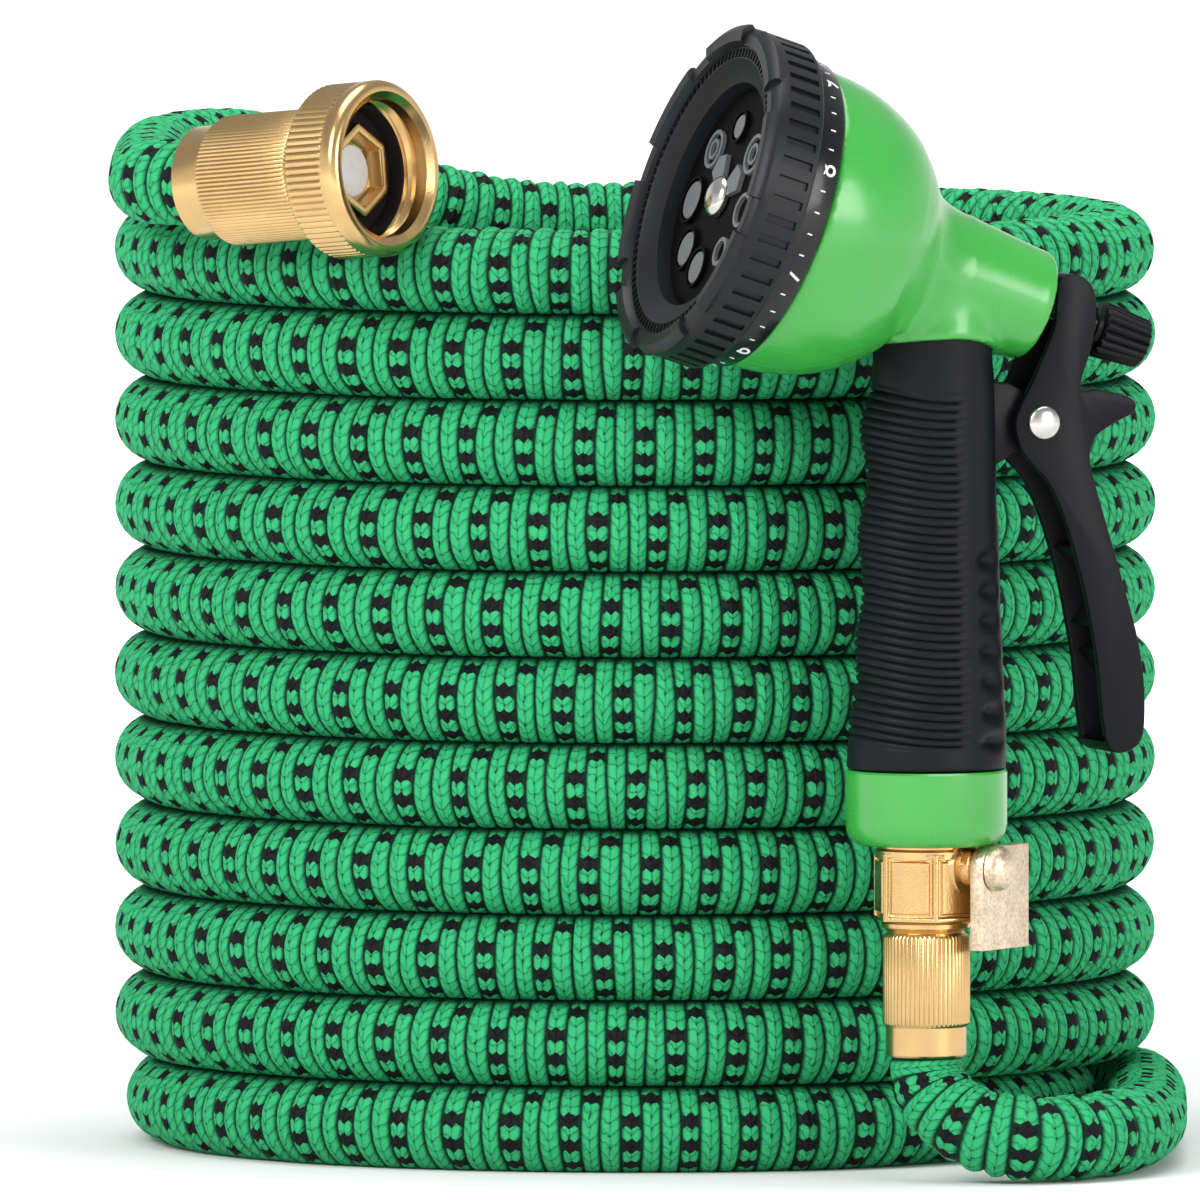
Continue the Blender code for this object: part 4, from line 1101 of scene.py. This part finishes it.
def grip_point(angle, height):
    """A spot on the rubber's skin, with its ribs and dimples pressed in."""
    depth, width, shift = station(height)
    away = abs(angle % (2 * math.pi) - math.pi)
    fade = 1 - min(1.0, max(0.0, (away - RIB_BEARING) / RIB_FADE))
    inset = 0.0
    if RIB_FIRST < height < RIB_LAST:
        share = (height - RIB_FIRST) / (RIB_LAST - RIB_FIRST) * RIB_COUNT % 1
        inset = RIB_DEPTH * fade * abs(2 * share - 1) ** 3
    for dimple in range(DIMPLES):
        middle = DIMPLE_FIRST + dimple * DIMPLE_PITCH
        sideways = (away - DIMPLE_BEARING) / DIMPLE_SPREAD
        upward = (height - middle) / DIMPLE_HEIGHT
        inset += DIMPLE_DEPTH * math.exp(-(sideways**2) - upward**2)
    inside = min(1.0, max(0.0, min(height, GRIP_HEIGHT - height) / SWEEP_EASE))
    sweep = RIB_SWEEP * inside * math.sin(min(away, math.pi / 2)) ** 2
    return (
        (depth - inset) * math.cos(angle) + shift,
        (width - inset) * math.sin(angle),
        GRIP_FOOT + height - sweep,
    )


heights = [0.0, 0.0004, 0.0012, 0.0025, 0.0040, 0.0049]
rows = RIB_COUNT * RIB_STEPS
heights += [RIB_FIRST + (RIB_LAST - RIB_FIRST) * row / rows for row in range(rows + 1)]
heights += [0.0775, 0.0795, 0.0820, 0.0850, GRIP_HEIGHT]
shape = bmesh.new()
rings_made = []
for height in heights:
    ring = bmesh.ops.create_circle(shape, segments=GRIP_SIDES, radius=1.0)["verts"]
    for corner in ring:
        angle = math.atan2(corner.co.y, corner.co.x)
        spot = Vector(grip_point(angle, height))
        if height == 0.0:
            spot.x *= GRIP_FOOT_DRAFT
            spot.y *= GRIP_FOOT_DRAFT
        corner.co = spot
    rings_made.append(ring)
for lower, upper in zip(rings_made, rings_made[1:]):
    for index in range(GRIP_SIDES):
        beside = (index + 1) % GRIP_SIDES
        shape.faces.new((lower[index], lower[beside], upper[beside], upper[index]))
shape.faces.new(rings_made[0])
shape.faces.new(rings_made[-1])
bmesh.ops.recalc_face_normals(shape, faces=shape.faces)
RUBBER_BLACK = (0.0060, 0.0066, 0.0085)
grip_rubber = moulded_material(
    "grip_rubber", RUBBER_BLACK, roughness=0.42, speckle=0.25, gloss=0.14
)
settle(
    "rubber_grip", shape, nozzle_place, grip_rubber, "hose", ["grip"], sharp=60
)

pivot_place = nozzle_place.copy()
pivot_place.translation = Vector(trigger_joint["pos_m"])
LUG_OUTLINE = (
    (-0.0155, 0.0085), (-0.0060, 0.0078), (0.0010, 0.0042), (0.0036, 0.0012),
    (0.0030, -0.0024), (-0.0008, -0.0040), (-0.0052, -0.0062), (-0.0155, -0.0125),
)
LUG_WIDTH = 0.0098
PLASTIC_BLACK = (0.0040, 0.0044, 0.0056)
black_plastic = moulded_material(
    "black_plastic", PLASTIC_BLACK, roughness=0.34, speckle=0.12, gloss=0.14
)
upright = Matrix.Rotation(math.pi / 2, 4, "X")
shape = plate(LUG_OUTLINE, -LUG_WIDTH / 2, LUG_WIDTH / 2)
bevelled(shape, list(shape.edges), 0.0005)
settle("pivot_lug", shape, pivot_place @ upright, black_plastic, "hose", [])

# The collar: the green threaded ring that screws the nozzle on the valve.
COLLAR_FOOT = 0.0665
COLLAR_TOP = 0.0813
COLLAR_RADIUS = 0.0160
COLLAR_BORE_RADIUS = 0.0129
COLLAR_ROOF = 0.0023
shape = spun(
    [
        (0.0, COLLAR_TOP),
        (COLLAR_RADIUS - 0.0004, COLLAR_TOP),
        (COLLAR_RADIUS, COLLAR_TOP - 0.0004),
        (COLLAR_RADIUS, COLLAR_FOOT + 0.0042),
        (COLLAR_RADIUS - 0.0003, COLLAR_FOOT + 0.0026),
        (COLLAR_RADIUS - 0.0010, COLLAR_FOOT + 0.0012),
        (COLLAR_RADIUS - 0.0019, COLLAR_FOOT + 0.0003),
        (COLLAR_RADIUS - 0.0026, COLLAR_FOOT),
        (COLLAR_BORE_RADIUS, COLLAR_FOOT),
        (COLLAR_BORE_RADIUS, COLLAR_TOP - COLLAR_ROOF),
        (0.0, COLLAR_TOP - COLLAR_ROOF),
    ],
    STEPS_LARGE,
    closed=False,
)
settle(
    "collar", shape, nozzle_place, green_plastic, "hose", ["nozzle_collar"]
)

# The dial: a black ring with grip slots round its side, tabs on its front edge and a
# ring of fine teeth inside, with a glossy band behind it that carries plain numbers.
DIAL_RADIUS = 0.0337
DIAL_DEPTH = 0.0111
DIAL_STEPS = 104
TEETH_OUT = 0.0297
TEETH_IN = 0.0274
RECESS_RADIUS = 0.0228
RECESS_DEPTH = 0.0058
TAB_COUNT = 8
TAB_SHARE = 0.62
TAB_RISE = 0.0009
TAB_FLARE = 1.018
SLOT_NEAR = -0.0034
SLOT_FAR = -0.0102
SLOT_DEPTH = 0.0007
TOOTH_DEPTH = 0.0006
SPINDLE_BORE = 0.0066
DISC_BACK = 0.0068
DIAL_BLACK = (0.0072, 0.0080, 0.0094)
FACE_BLACK = (0.0014, 0.0014, 0.0018)
dial_black = moulded_material("dial_black", DIAL_BLACK, roughness=0.38, speckle=0.15, gloss=0.26)
face_black = moulded_material("face_black", FACE_BLACK, roughness=0.50, speckle=0.10, gloss=0.06)
shape = spun(
    [
        (RECESS_RADIUS, -RECESS_DEPTH),
        (RECESS_RADIUS + 0.0003, -0.0032),
        (TEETH_IN - 0.0002, -0.0012),
        (TEETH_IN, -0.0010),
        (TEETH_OUT, -0.0010),
        (TEETH_OUT + 0.0002, -0.0002),
        (DIAL_RADIUS - 0.0016, 0.0),
        (DIAL_RADIUS - 0.0004, -0.0008),
        (DIAL_RADIUS, -0.0016),
        (DIAL_RADIUS, SLOT_NEAR),
        (DIAL_RADIUS, SLOT_FAR),
        (DIAL_RADIUS, -0.0107),
        (DIAL_RADIUS - 0.0004, -DIAL_DEPTH),
        (SPINDLE_BORE, -DIAL_DEPTH),
        (SPINDLE_BORE, -DISC_BACK),
        (RECESS_RADIUS, -DISC_BACK),
    ],
    DIAL_STEPS,
)


def bearing_of(face):
    middle = face.calc_center_median()
    return math.atan2(middle.y, middle.x)


def ring_faces(shape, low_radius, high_radius, low, high):
    """The faces of a turned shape inside this band, in order round its axis."""
    found = []
    for face in shape.faces:
        middle = face.calc_center_median()
        reach = math.hypot(middle.x, middle.y)
        if low_radius < reach < high_radius and low < middle.z < high:
            found.append(face)
    return sorted(found, key=bearing_of)


slots = ring_faces(shape, DIAL_RADIUS - 0.0003, DIAL_RADIUS + 0.0003, SLOT_FAR, SLOT_NEAR)[::2]
bmesh.ops.inset_individual(shape, faces=slots, thickness=0.00025, depth=0.0)
bmesh.ops.inset_individual(shape, faces=slots, thickness=0.00005, depth=-SLOT_DEPTH)
teeth = ring_faces(shape, TEETH_IN, TEETH_OUT, -0.0011, -0.0009)
bmesh.ops.inset_individual(shape, faces=teeth, thickness=0.00030, depth=0.0)
bmesh.ops.inset_individual(shape, faces=teeth, thickness=0.00005, depth=-TOOTH_DEPTH)
rim = ring_faces(shape, TEETH_OUT + 0.0003, DIAL_RADIUS + 0.001, -0.0017, 0.001)
per_tab = DIAL_STEPS // TAB_COUNT
tabs = []
for face in rim:
    turn = bearing_of(face) / (2 * math.pi) * DIAL_STEPS
    if math.floor(turn) % per_tab < per_tab * TAB_SHARE:
        tabs.append(face)
grown = bmesh.ops.extrude_face_region(shape, geom=tabs)["geom"]
raised = [item for item in grown if isinstance(item, bmesh.types.BMVert)]
bmesh.ops.delete(shape, geom=tabs, context="FACES_ONLY")
for corner in raised:
    corner.co.x *= TAB_FLARE
    corner.co.y *= TAB_FLARE
    corner.co.z += TAB_RISE
bmesh.ops.recalc_face_normals(shape, faces=shape.faces)
settle(
    "dial", shape, head_place, dial_black, "spray_dial", ["dial_ring"], sharp=30
)

BAND_RADIUS = 0.0322
BAND_START = 0.0114
BAND_DEPTH = 0.0052
black_gloss = moulded_material(
    "black_gloss", PLASTIC_BLACK, roughness=0.20, speckle=0.04, coat=0.20, gloss=0.3
)
band_end = BAND_START + BAND_DEPTH
shape = spun(
    eased_corners(
        [
            (SPINDLE_BORE, -BAND_START),
            (BAND_RADIUS, -BAND_START),
            (BAND_RADIUS - 0.0008, -band_end),
            (SPINDLE_BORE, -band_end),
        ],
        radius=0.0003,
    ),
    STEPS_WIDE,
)
settle(
    "number_band", shape, head_place, black_gloss, "spray_dial", ["pattern_band"]
)
paint, shader, start = finish("number_white", Roughness=0.5)
place = start.node("ShaderNodeTexCoord", output=3)
worn = start.node("ShaderNodeTexNoise", Vector=place, Scale=800.0)
wire(shader, "Base Color", worn.blend((0.55, 0.56, 0.57), (0.80, 0.80, 0.80)))
NUMBER_SIZE = 0.0058
NUMBER_COUNT = 9
NUMBER_START = 8
NUMBER_SQUEEZE = 0.95
NUMBER_SUNK = 0.0004
PAINT_RELIEF = 0.00006
TICKS = 4
TICK_SIZE = (0.0003, 0.0011, 0.0001)
for number in range(NUMBER_COUNT):
    letters = bpy.data.curves.new(f"number_{number + 1}", "FONT")
    letters.body = str(number + 1)
    letters.size = NUMBER_SIZE
    letters.align_x = "CENTER"
    letters.align_y = "CENTER"
    letters.extrude = 0.00005
    letters.resolution_u = 3
    holder = bpy.data.objects.new("letters", letters)
    bpy.context.scene.collection.objects.link(holder)
    flat = finished_mesh(holder)
    bpy.data.objects.remove(holder)
    shape = bmesh.new()
    shape.from_mesh(flat)
    bmesh.ops.remove_doubles(shape, verts=shape.verts, dist=1e-7)
    turn = math.radians(NUMBER_START + number * 360 / NUMBER_COUNT)
    for tick in range(TICKS):
        mark = bmesh.ops.create_cube(shape, size=1.0)["verts"]
        offset = (tick + 1) / (TICKS + 1) * 2 * math.pi / NUMBER_COUNT * BAND_RADIUS
        for corner in mark:
            corner.co = corner.co * Vector(TICK_SIZE)
            corner.co.x += offset
    for corner in shape.verts:
        bend = turn + corner.co.x / BAND_RADIUS
        height = -(BAND_START + BAND_DEPTH / 2) + corner.co.y * NUMBER_SQUEEZE
        reach = BAND_RADIUS - NUMBER_SUNK + corner.co.z + PAINT_RELIEF
        corner.co = Vector((reach * math.cos(bend), reach * math.sin(bend), height))
    settle(
        f"number_{number + 1}", shape, head_place, paint, "spray_dial", [], sharp=30
    )

# The spray face: a disc sunk in the dial with a port for each pattern, grey inserts and
# raised rings round them, and a plated screw in the middle.
INSERT_GREY = (0.105, 0.110, 0.115)
grey_insert = moulded_material("grey_insert", INSERT_GREY, roughness=0.42, speckle=0.10)
DISC_RADIUS = RECESS_RADIUS - 0.0004
DISC_FOOT = 0.0066
shape = spun(
    eased_corners(
        [
            (0.0, -RECESS_DEPTH),
            (DISC_RADIUS, -RECESS_DEPTH),
            (DISC_RADIUS, -DISC_FOOT),
            (0.0, -DISC_FOOT),
        ],
        radius=0.0002,
        closed=False,
    ),
    STEPS_LARGE,
    closed=False,
)
settle("spray_disc", shape, head_place, face_black, "spray_dial", ["spray_face"])


def ring_bar(radius, width, height, steps=40):
    """A raised ring of this mean radius."""
    low, high = radius - width / 2, radius + width / 2
    return spun([(low, height), (high, height), (high, 0.0), (low, 0.0)], steps)


def join(target, part):
    """Adds a copy of one shape to another."""
    scratch = bpy.data.meshes.new("scratch")
    part.to_mesh(scratch)
    target.from_mesh(scratch)
    bpy.data.meshes.remove(scratch)


PORT_REACH = 0.0146
INSERT_HEIGHT = 0.0007
BAR_HEIGHT = 0.0008
OUTLINE_HEIGHT = 0.0009
WEDGE_OUTLINE = (
    (0.0035, -0.0016), (0.0085, -0.0030), (0.0100, 0.0004), (0.0080, 0.0034), (0.0035, 0.0018),
)
WEDGE_HEIGHT = 0.0010
WEDGE_BEARINGS = (300, 35)
ports = (
    (95, "disc", 0.0040), (140, "disc", 0.0036), (178, "disc", 0.0034), (50, "rings", 0.0036),
    (222, "ring", 0.0026), (262, "ring", 0.0032), (310, "rings", 0.0038), (5, "disc", 0.0026),
)
inserts = bmesh.new()
outlines = bmesh.new()
on_disc = Matrix.Translation((0.0, 0.0, -RECESS_DEPTH))
for bearing, kind, radius in ports:
    made = []
    if kind == "disc":
        button = [
            (0.0, INSERT_HEIGHT), (radius - 0.0003, INSERT_HEIGHT),
            (radius, INSERT_HEIGHT - 0.0003), (radius, 0.0), (0.0, 0.0),
        ]
        made.append((inserts, spun(button, 36, closed=False)))
        made.append((outlines, ring_bar(radius + 0.0006, 0.0005, OUTLINE_HEIGHT)))
    else:
        made.append((inserts, ring_bar(radius, 0.0008, BAR_HEIGHT)))
    if kind == "rings":
        made.append((inserts, ring_bar(radius / 2, 0.0007, BAR_HEIGHT)))
    at_port = on_disc @ Matrix.Rotation(math.radians(bearing), 4, "Z")
    at_port = at_port @ Matrix.Translation((PORT_REACH, 0.0, 0.0))
    for target, port in made:
        bmesh.ops.transform(port, matrix=at_port, verts=port.verts)
        join(target, port)
        port.free()
for bearing in WEDGE_BEARINGS:
    wedge = plate(WEDGE_OUTLINE, 0.0, WEDGE_HEIGHT)
    at_wedge = on_disc @ Matrix.Rotation(math.radians(bearing), 4, "Z")
    bmesh.ops.transform(wedge, matrix=at_wedge, verts=wedge.verts)
    join(inserts, wedge)
    wedge.free()
settle("port_inserts", inserts, head_place, grey_insert, "spray_dial", [])
settle("port_rims", outlines, head_place, face_black, "spray_dial", [])


def plated_material():
    """Bright nickel-plated steel with faint polishing marks."""
    made, shader, start = finish("plated_steel", Metallic=1.0)
    place = start.node("ShaderNodeTexCoord", output=3)
    cloud = start.node("ShaderNodeTexNoise", Vector=place, Scale=500.0, Detail=3.0)
    wire(shader, "Base Color", cloud.blend(linear(176, 172, 166), linear(226, 223, 218)))
    wire(shader, "Roughness", cloud * 0.15 + 0.14)
    return made


plated = plated_material()
SCREW_RADIUS = 0.0043
SCREW_HEIGHT = 0.0028
SCREW_RIM = 0.0006
head = dome(SCREW_RADIUS, SCREW_RIM, SCREW_HEIGHT - SCREW_RIM, 8)
head += [(SCREW_RADIUS, 0.0), (0.0, 0.0)]
shape = spun(head, STEPS_SMALL, closed=False)
bmesh.ops.translate(shape, verts=shape.verts, vec=(0.0, 0.0, -RECESS_DEPTH + 0.0003))
settle("centre_screw", shape, head_place, plated, "spray_dial", ["face_screw"])

# The trigger: a black moulded channel, two walls and a web with thin ribs between them,
# whose top loops over the stem; it turns on a plated pin through the grip's lug.
TRIGGER_OUTLINE = (
    (0.0039, 0.0288), (0.0085, 0.0286), (0.0111, 0.0247), (0.0106, 0.0162),
    (0.0079, 0.0068), (0.0118, 0.0064), (0.0186, 0.0045), (0.0192, 0.0018),
    (0.0148, -0.0005), (0.0109, -0.0033), (0.0099, -0.0073), (0.0113, -0.0133),
    (0.0144, -0.0236), (0.0190, -0.0391), (0.0209, -0.0479), (0.0215, -0.0568),
    (0.0207, -0.0632), (0.0171, -0.0656), (0.0139, -0.0643), (0.0125, -0.0578),
    (0.0115, -0.0478), (0.0097, -0.0378), (0.0076, -0.0288), (0.0046, -0.0193),
    (0.0011, -0.0118), (-0.0041, -0.0060), (-0.0058, -0.0003), (-0.0045, 0.0037),
    (-0.0012, 0.0102), (0.0023, 0.0187), (0.0029, 0.0242),
)
TRIGGER_HOLLOW = (
    (0.0084, 0.0262), (0.0088, 0.0244), (0.0083, 0.0164), (0.0054, 0.0070),
    (0.0060, -0.0012), (0.0076, -0.0068), (0.0089, -0.0133), (0.0120, -0.0242),
    (0.0166, -0.0396), (0.0185, -0.0482), (0.0191, -0.0568), (0.0185, -0.0617),
    (0.0168, -0.0630), (-0.0150, -0.0630), (-0.0150, 0.0262),
)
TRIGGER_RIBS = (
    ((0.0076, -0.0250), (0.0148, -0.0325)), ((0.0113, -0.0405), (0.0156, -0.0345)),
    ((0.0128, -0.0455), (0.0193, -0.0540)),
)
TRIGGER_WIDTH = 0.016
TRIGGER_WALL = 0.0021
RIB_THICKNESS = 0.0009


def rounded_outline(outline, count=5):
    """A closed Catmull-Rom curve through the outline's own points."""
    spots = [Vector(point) for point in outline]
    total = len(spots)
    out = []
    for index, start in enumerate(spots):
        before = spots[index - 1]
        end = spots[(index + 1) % total]
        after = spots[(index + 2) % total]
        for t in (step / count for step in range(count)):
            bend = 2 * before - 5 * start + 4 * end - after
            twist = 3 * start - before - 3 * end + after
            out.append(0.5 * (2 * start + (end - before) * t + bend * t**2 + twist * t**3))
    return out


outer = TRIGGER_WIDTH / 2
inner = outer - TRIGGER_WALL
channel = solid("channel", plate(rounded_outline(TRIGGER_OUTLINE), -outer, outer))
hollow = solid("hollow", plate(TRIGGER_HOLLOW, -inner, inner))
cut = channel.modifiers.new("hollow", "BOOLEAN")
cut.operation = "DIFFERENCE"
cut.object = hollow
edge = channel.modifiers.new("edge", "BEVEL")
edge.width = 0.00045
edge.segments = 2
edge.limit_method = "ANGLE"
edge.angle_limit = math.radians(40)
cast = finished_mesh(channel)
bpy.data.objects.remove(channel)
bpy.data.objects.remove(hollow)
shape = bmesh.new()
shape.from_mesh(cast)
settle(
    "squeeze_trigger", shape, pivot_place @ upright, black_plastic, "trigger", ["trigger"],
    sharp=40,
)
ribs = bmesh.new()
rib_reach = inner + 0.0002
for start, end in TRIGGER_RIBS:
    low = Vector(start)
    high = Vector(end)
    side = (high - low).orthogonal().normalized() * RIB_THICKNESS / 2
    rib = plate((low - side, high - side, high + side, low + side), -rib_reach, rib_reach)
    join(ribs, rib)
    rib.free()
settle(
    "trigger_ribs", ribs, pivot_place @ upright, black_plastic, "trigger", [],
    sharp=30,
)
PIN_HEAD_RADIUS = 0.0034
PIN_HEAD_HEIGHT = 0.0015
PIN_HEAD_RIM = 0.0002
PIN_SHANK_RADIUS = 0.0018
half = outer + 0.0002
pin = dome(PIN_HEAD_RADIUS, half + PIN_HEAD_RIM, PIN_HEAD_HEIGHT - PIN_HEAD_RIM, 6)
pin += [(PIN_HEAD_RADIUS, half), (PIN_SHANK_RADIUS, half)]
pin += [(x, -z) for x, z in reversed(pin)]
settle(
    "pin", spun(pin, STEPS_SMALL, closed=False), pivot_place @ upright, plated, "hose",
    ["pivot_pin"],
)

# The flow stem: a steel rod out of the barrel with a fluted knob screwed on its end.
KNOB_START = 0.0890
KNOB_LENGTH = 0.0105
ROD_RADIUS = 0.0015
ROD_START = 0.0462
ROD_IN_KNOB = 0.0063
rod_end = KNOB_START + ROD_IN_KNOB
shape = spun(
    eased_corners(
        [(0.0, -ROD_START), (ROD_RADIUS, -ROD_START), (ROD_RADIUS, -rod_end), (0.0, -rod_end)],
        radius=0.0003,
        closed=False,
    ),
    32,
    closed=False,
)
settle("rod", shape, head_place, plated, "flow_stem", ["stem_rod"])
KNOB_RADIUS = 0.0058
KNOB_END_RADIUS = 0.0049
KNOB_BORE = 0.0018
KNOB_COLLAR_RADIUS = 0.0044
KNOB_COLLAR_LENGTH = 0.0016
KNOB_FLUTES = 16
KNOB_FLUTE_DEPTH = 0.00075
knob_end = KNOB_START + KNOB_LENGTH
collar_end = KNOB_START - KNOB_COLLAR_LENGTH
profile = [
    (0.0, -(rod_end + 0.0003)),
    (KNOB_BORE, -(rod_end + 0.0003)),
    (KNOB_BORE, -collar_end),
    (KNOB_COLLAR_RADIUS - 0.0004, -collar_end),
    (KNOB_COLLAR_RADIUS, -(collar_end + 0.0004)),
    (KNOB_COLLAR_RADIUS, -(KNOB_START - 0.0002)),
]
for share in (0.0, 0.04, 0.10, 0.5, 0.86, 0.94):
    radius = KNOB_RADIUS + (KNOB_END_RADIUS - KNOB_RADIUS) * share
    if share == 0.0:
        radius -= 0.0005
    profile.append((radius, -(KNOB_START + KNOB_LENGTH * share)))
profile += [
    (KNOB_END_RADIUS - 0.0006, -(knob_end - 0.0002)),
    (KNOB_END_RADIUS - 0.0014, -knob_end),
    (0.0, -knob_end),
]
shape = spun(profile, KNOB_FLUTES * 6, closed=False)
for corner in shape.verts:
    share = (-corner.co.z - KNOB_START) / KNOB_LENGTH
    reach = math.hypot(corner.co.x, corner.co.y)
    if 0.02 < share < 0.97 and reach > KNOB_COLLAR_RADIUS - 0.0001:
        turn = math.atan2(corner.co.y, corner.co.x) * KNOB_FLUTES / (2 * math.pi)
        scale = 1 - KNOB_FLUTE_DEPTH * (abs(turn % 1 - 0.5) * 2) ** 2 / reach
        corner.co.x *= scale
        corner.co.y *= scale
settle("knob", shape, head_place, black_plastic, "flow_knob", ["flow_knob"])


# The floor and the studio: a pale paper sheet under the hose that glows more and more
# away from it, so that it meets the white behind, and three large soft lights.
FLOOR_REACH = 30.0
FLOOR_DROP = 0.0002
FADE_FROM = 0.35
FADE_TO = 1.6
HORIZON_WHITE = 0.12
HORIZON_GREY = 0.45
shape = bmesh.new()
bmesh.ops.create_grid(shape, x_segments=1, y_segments=1, size=FLOOR_REACH)
bmesh.ops.translate(shape, verts=shape.verts, vec=(0.0, 0.0, -FLOOR_DROP))
floor = solid("floor", shape)
paper, shader, start = finish(
    "paper", Base_Color=(0.86, 0.86, 0.86, 1.0), Roughness=0.9, Emission_Strength=1.0
)
spot = start.node("ShaderNodeTexCoord", output=3)
away = spot.node("ShaderNodeVectorMath", {"operation": "LENGTH"}, output=1, _0=spot)
wire(shader, "Emission Color", away.between(FADE_FROM, FADE_TO).blend((0, 0, 0), (0.7, 0.7, 0.7)))
floor.data.materials.append(paper)

bpy.context.scene.view_settings.view_transform = "Standard"
world = bpy.data.worlds.new("studio")
world.use_nodes = True
sky = Value(world.node_tree, None)
heading = sky.node("ShaderNodeTexCoord", output=0)
rise = heading.node("ShaderNodeSeparateXYZ", output=2, _0=heading)
glow = abs(rise).between(HORIZON_WHITE, HORIZON_GREY)
horizon = glow.blend((1.0, 1.0, 1.0), (0.42, 0.43, 0.45))
world.node_tree.links.new(horizon.socket, world.node_tree.nodes["Background"].inputs["Color"])
bpy.context.scene.world = world
LIGHTS_AIM = (0.0, 0.0, 0.1)
for name, place, width, power in (
    ("key", (-1.3, -1.7, 1.5), 1.2, 48.0),
    ("fill", (1.6, -1.5, 0.7), 1.0, 19.0),
    ("top", (0.1, 0.1, 1.9), 1.4, 26.0),
):
    lamp = bpy.data.lights.new(name, "AREA")
    lamp.size = width
    lamp.energy = power
    light = bpy.data.objects.new(name, lamp)
    bpy.context.scene.collection.objects.link(light)
    light.location = place
    aim = Vector(LIGHTS_AIM) - Vector(place)
    light.rotation_euler = aim.to_track_quat("-Z", "Y").to_euler()
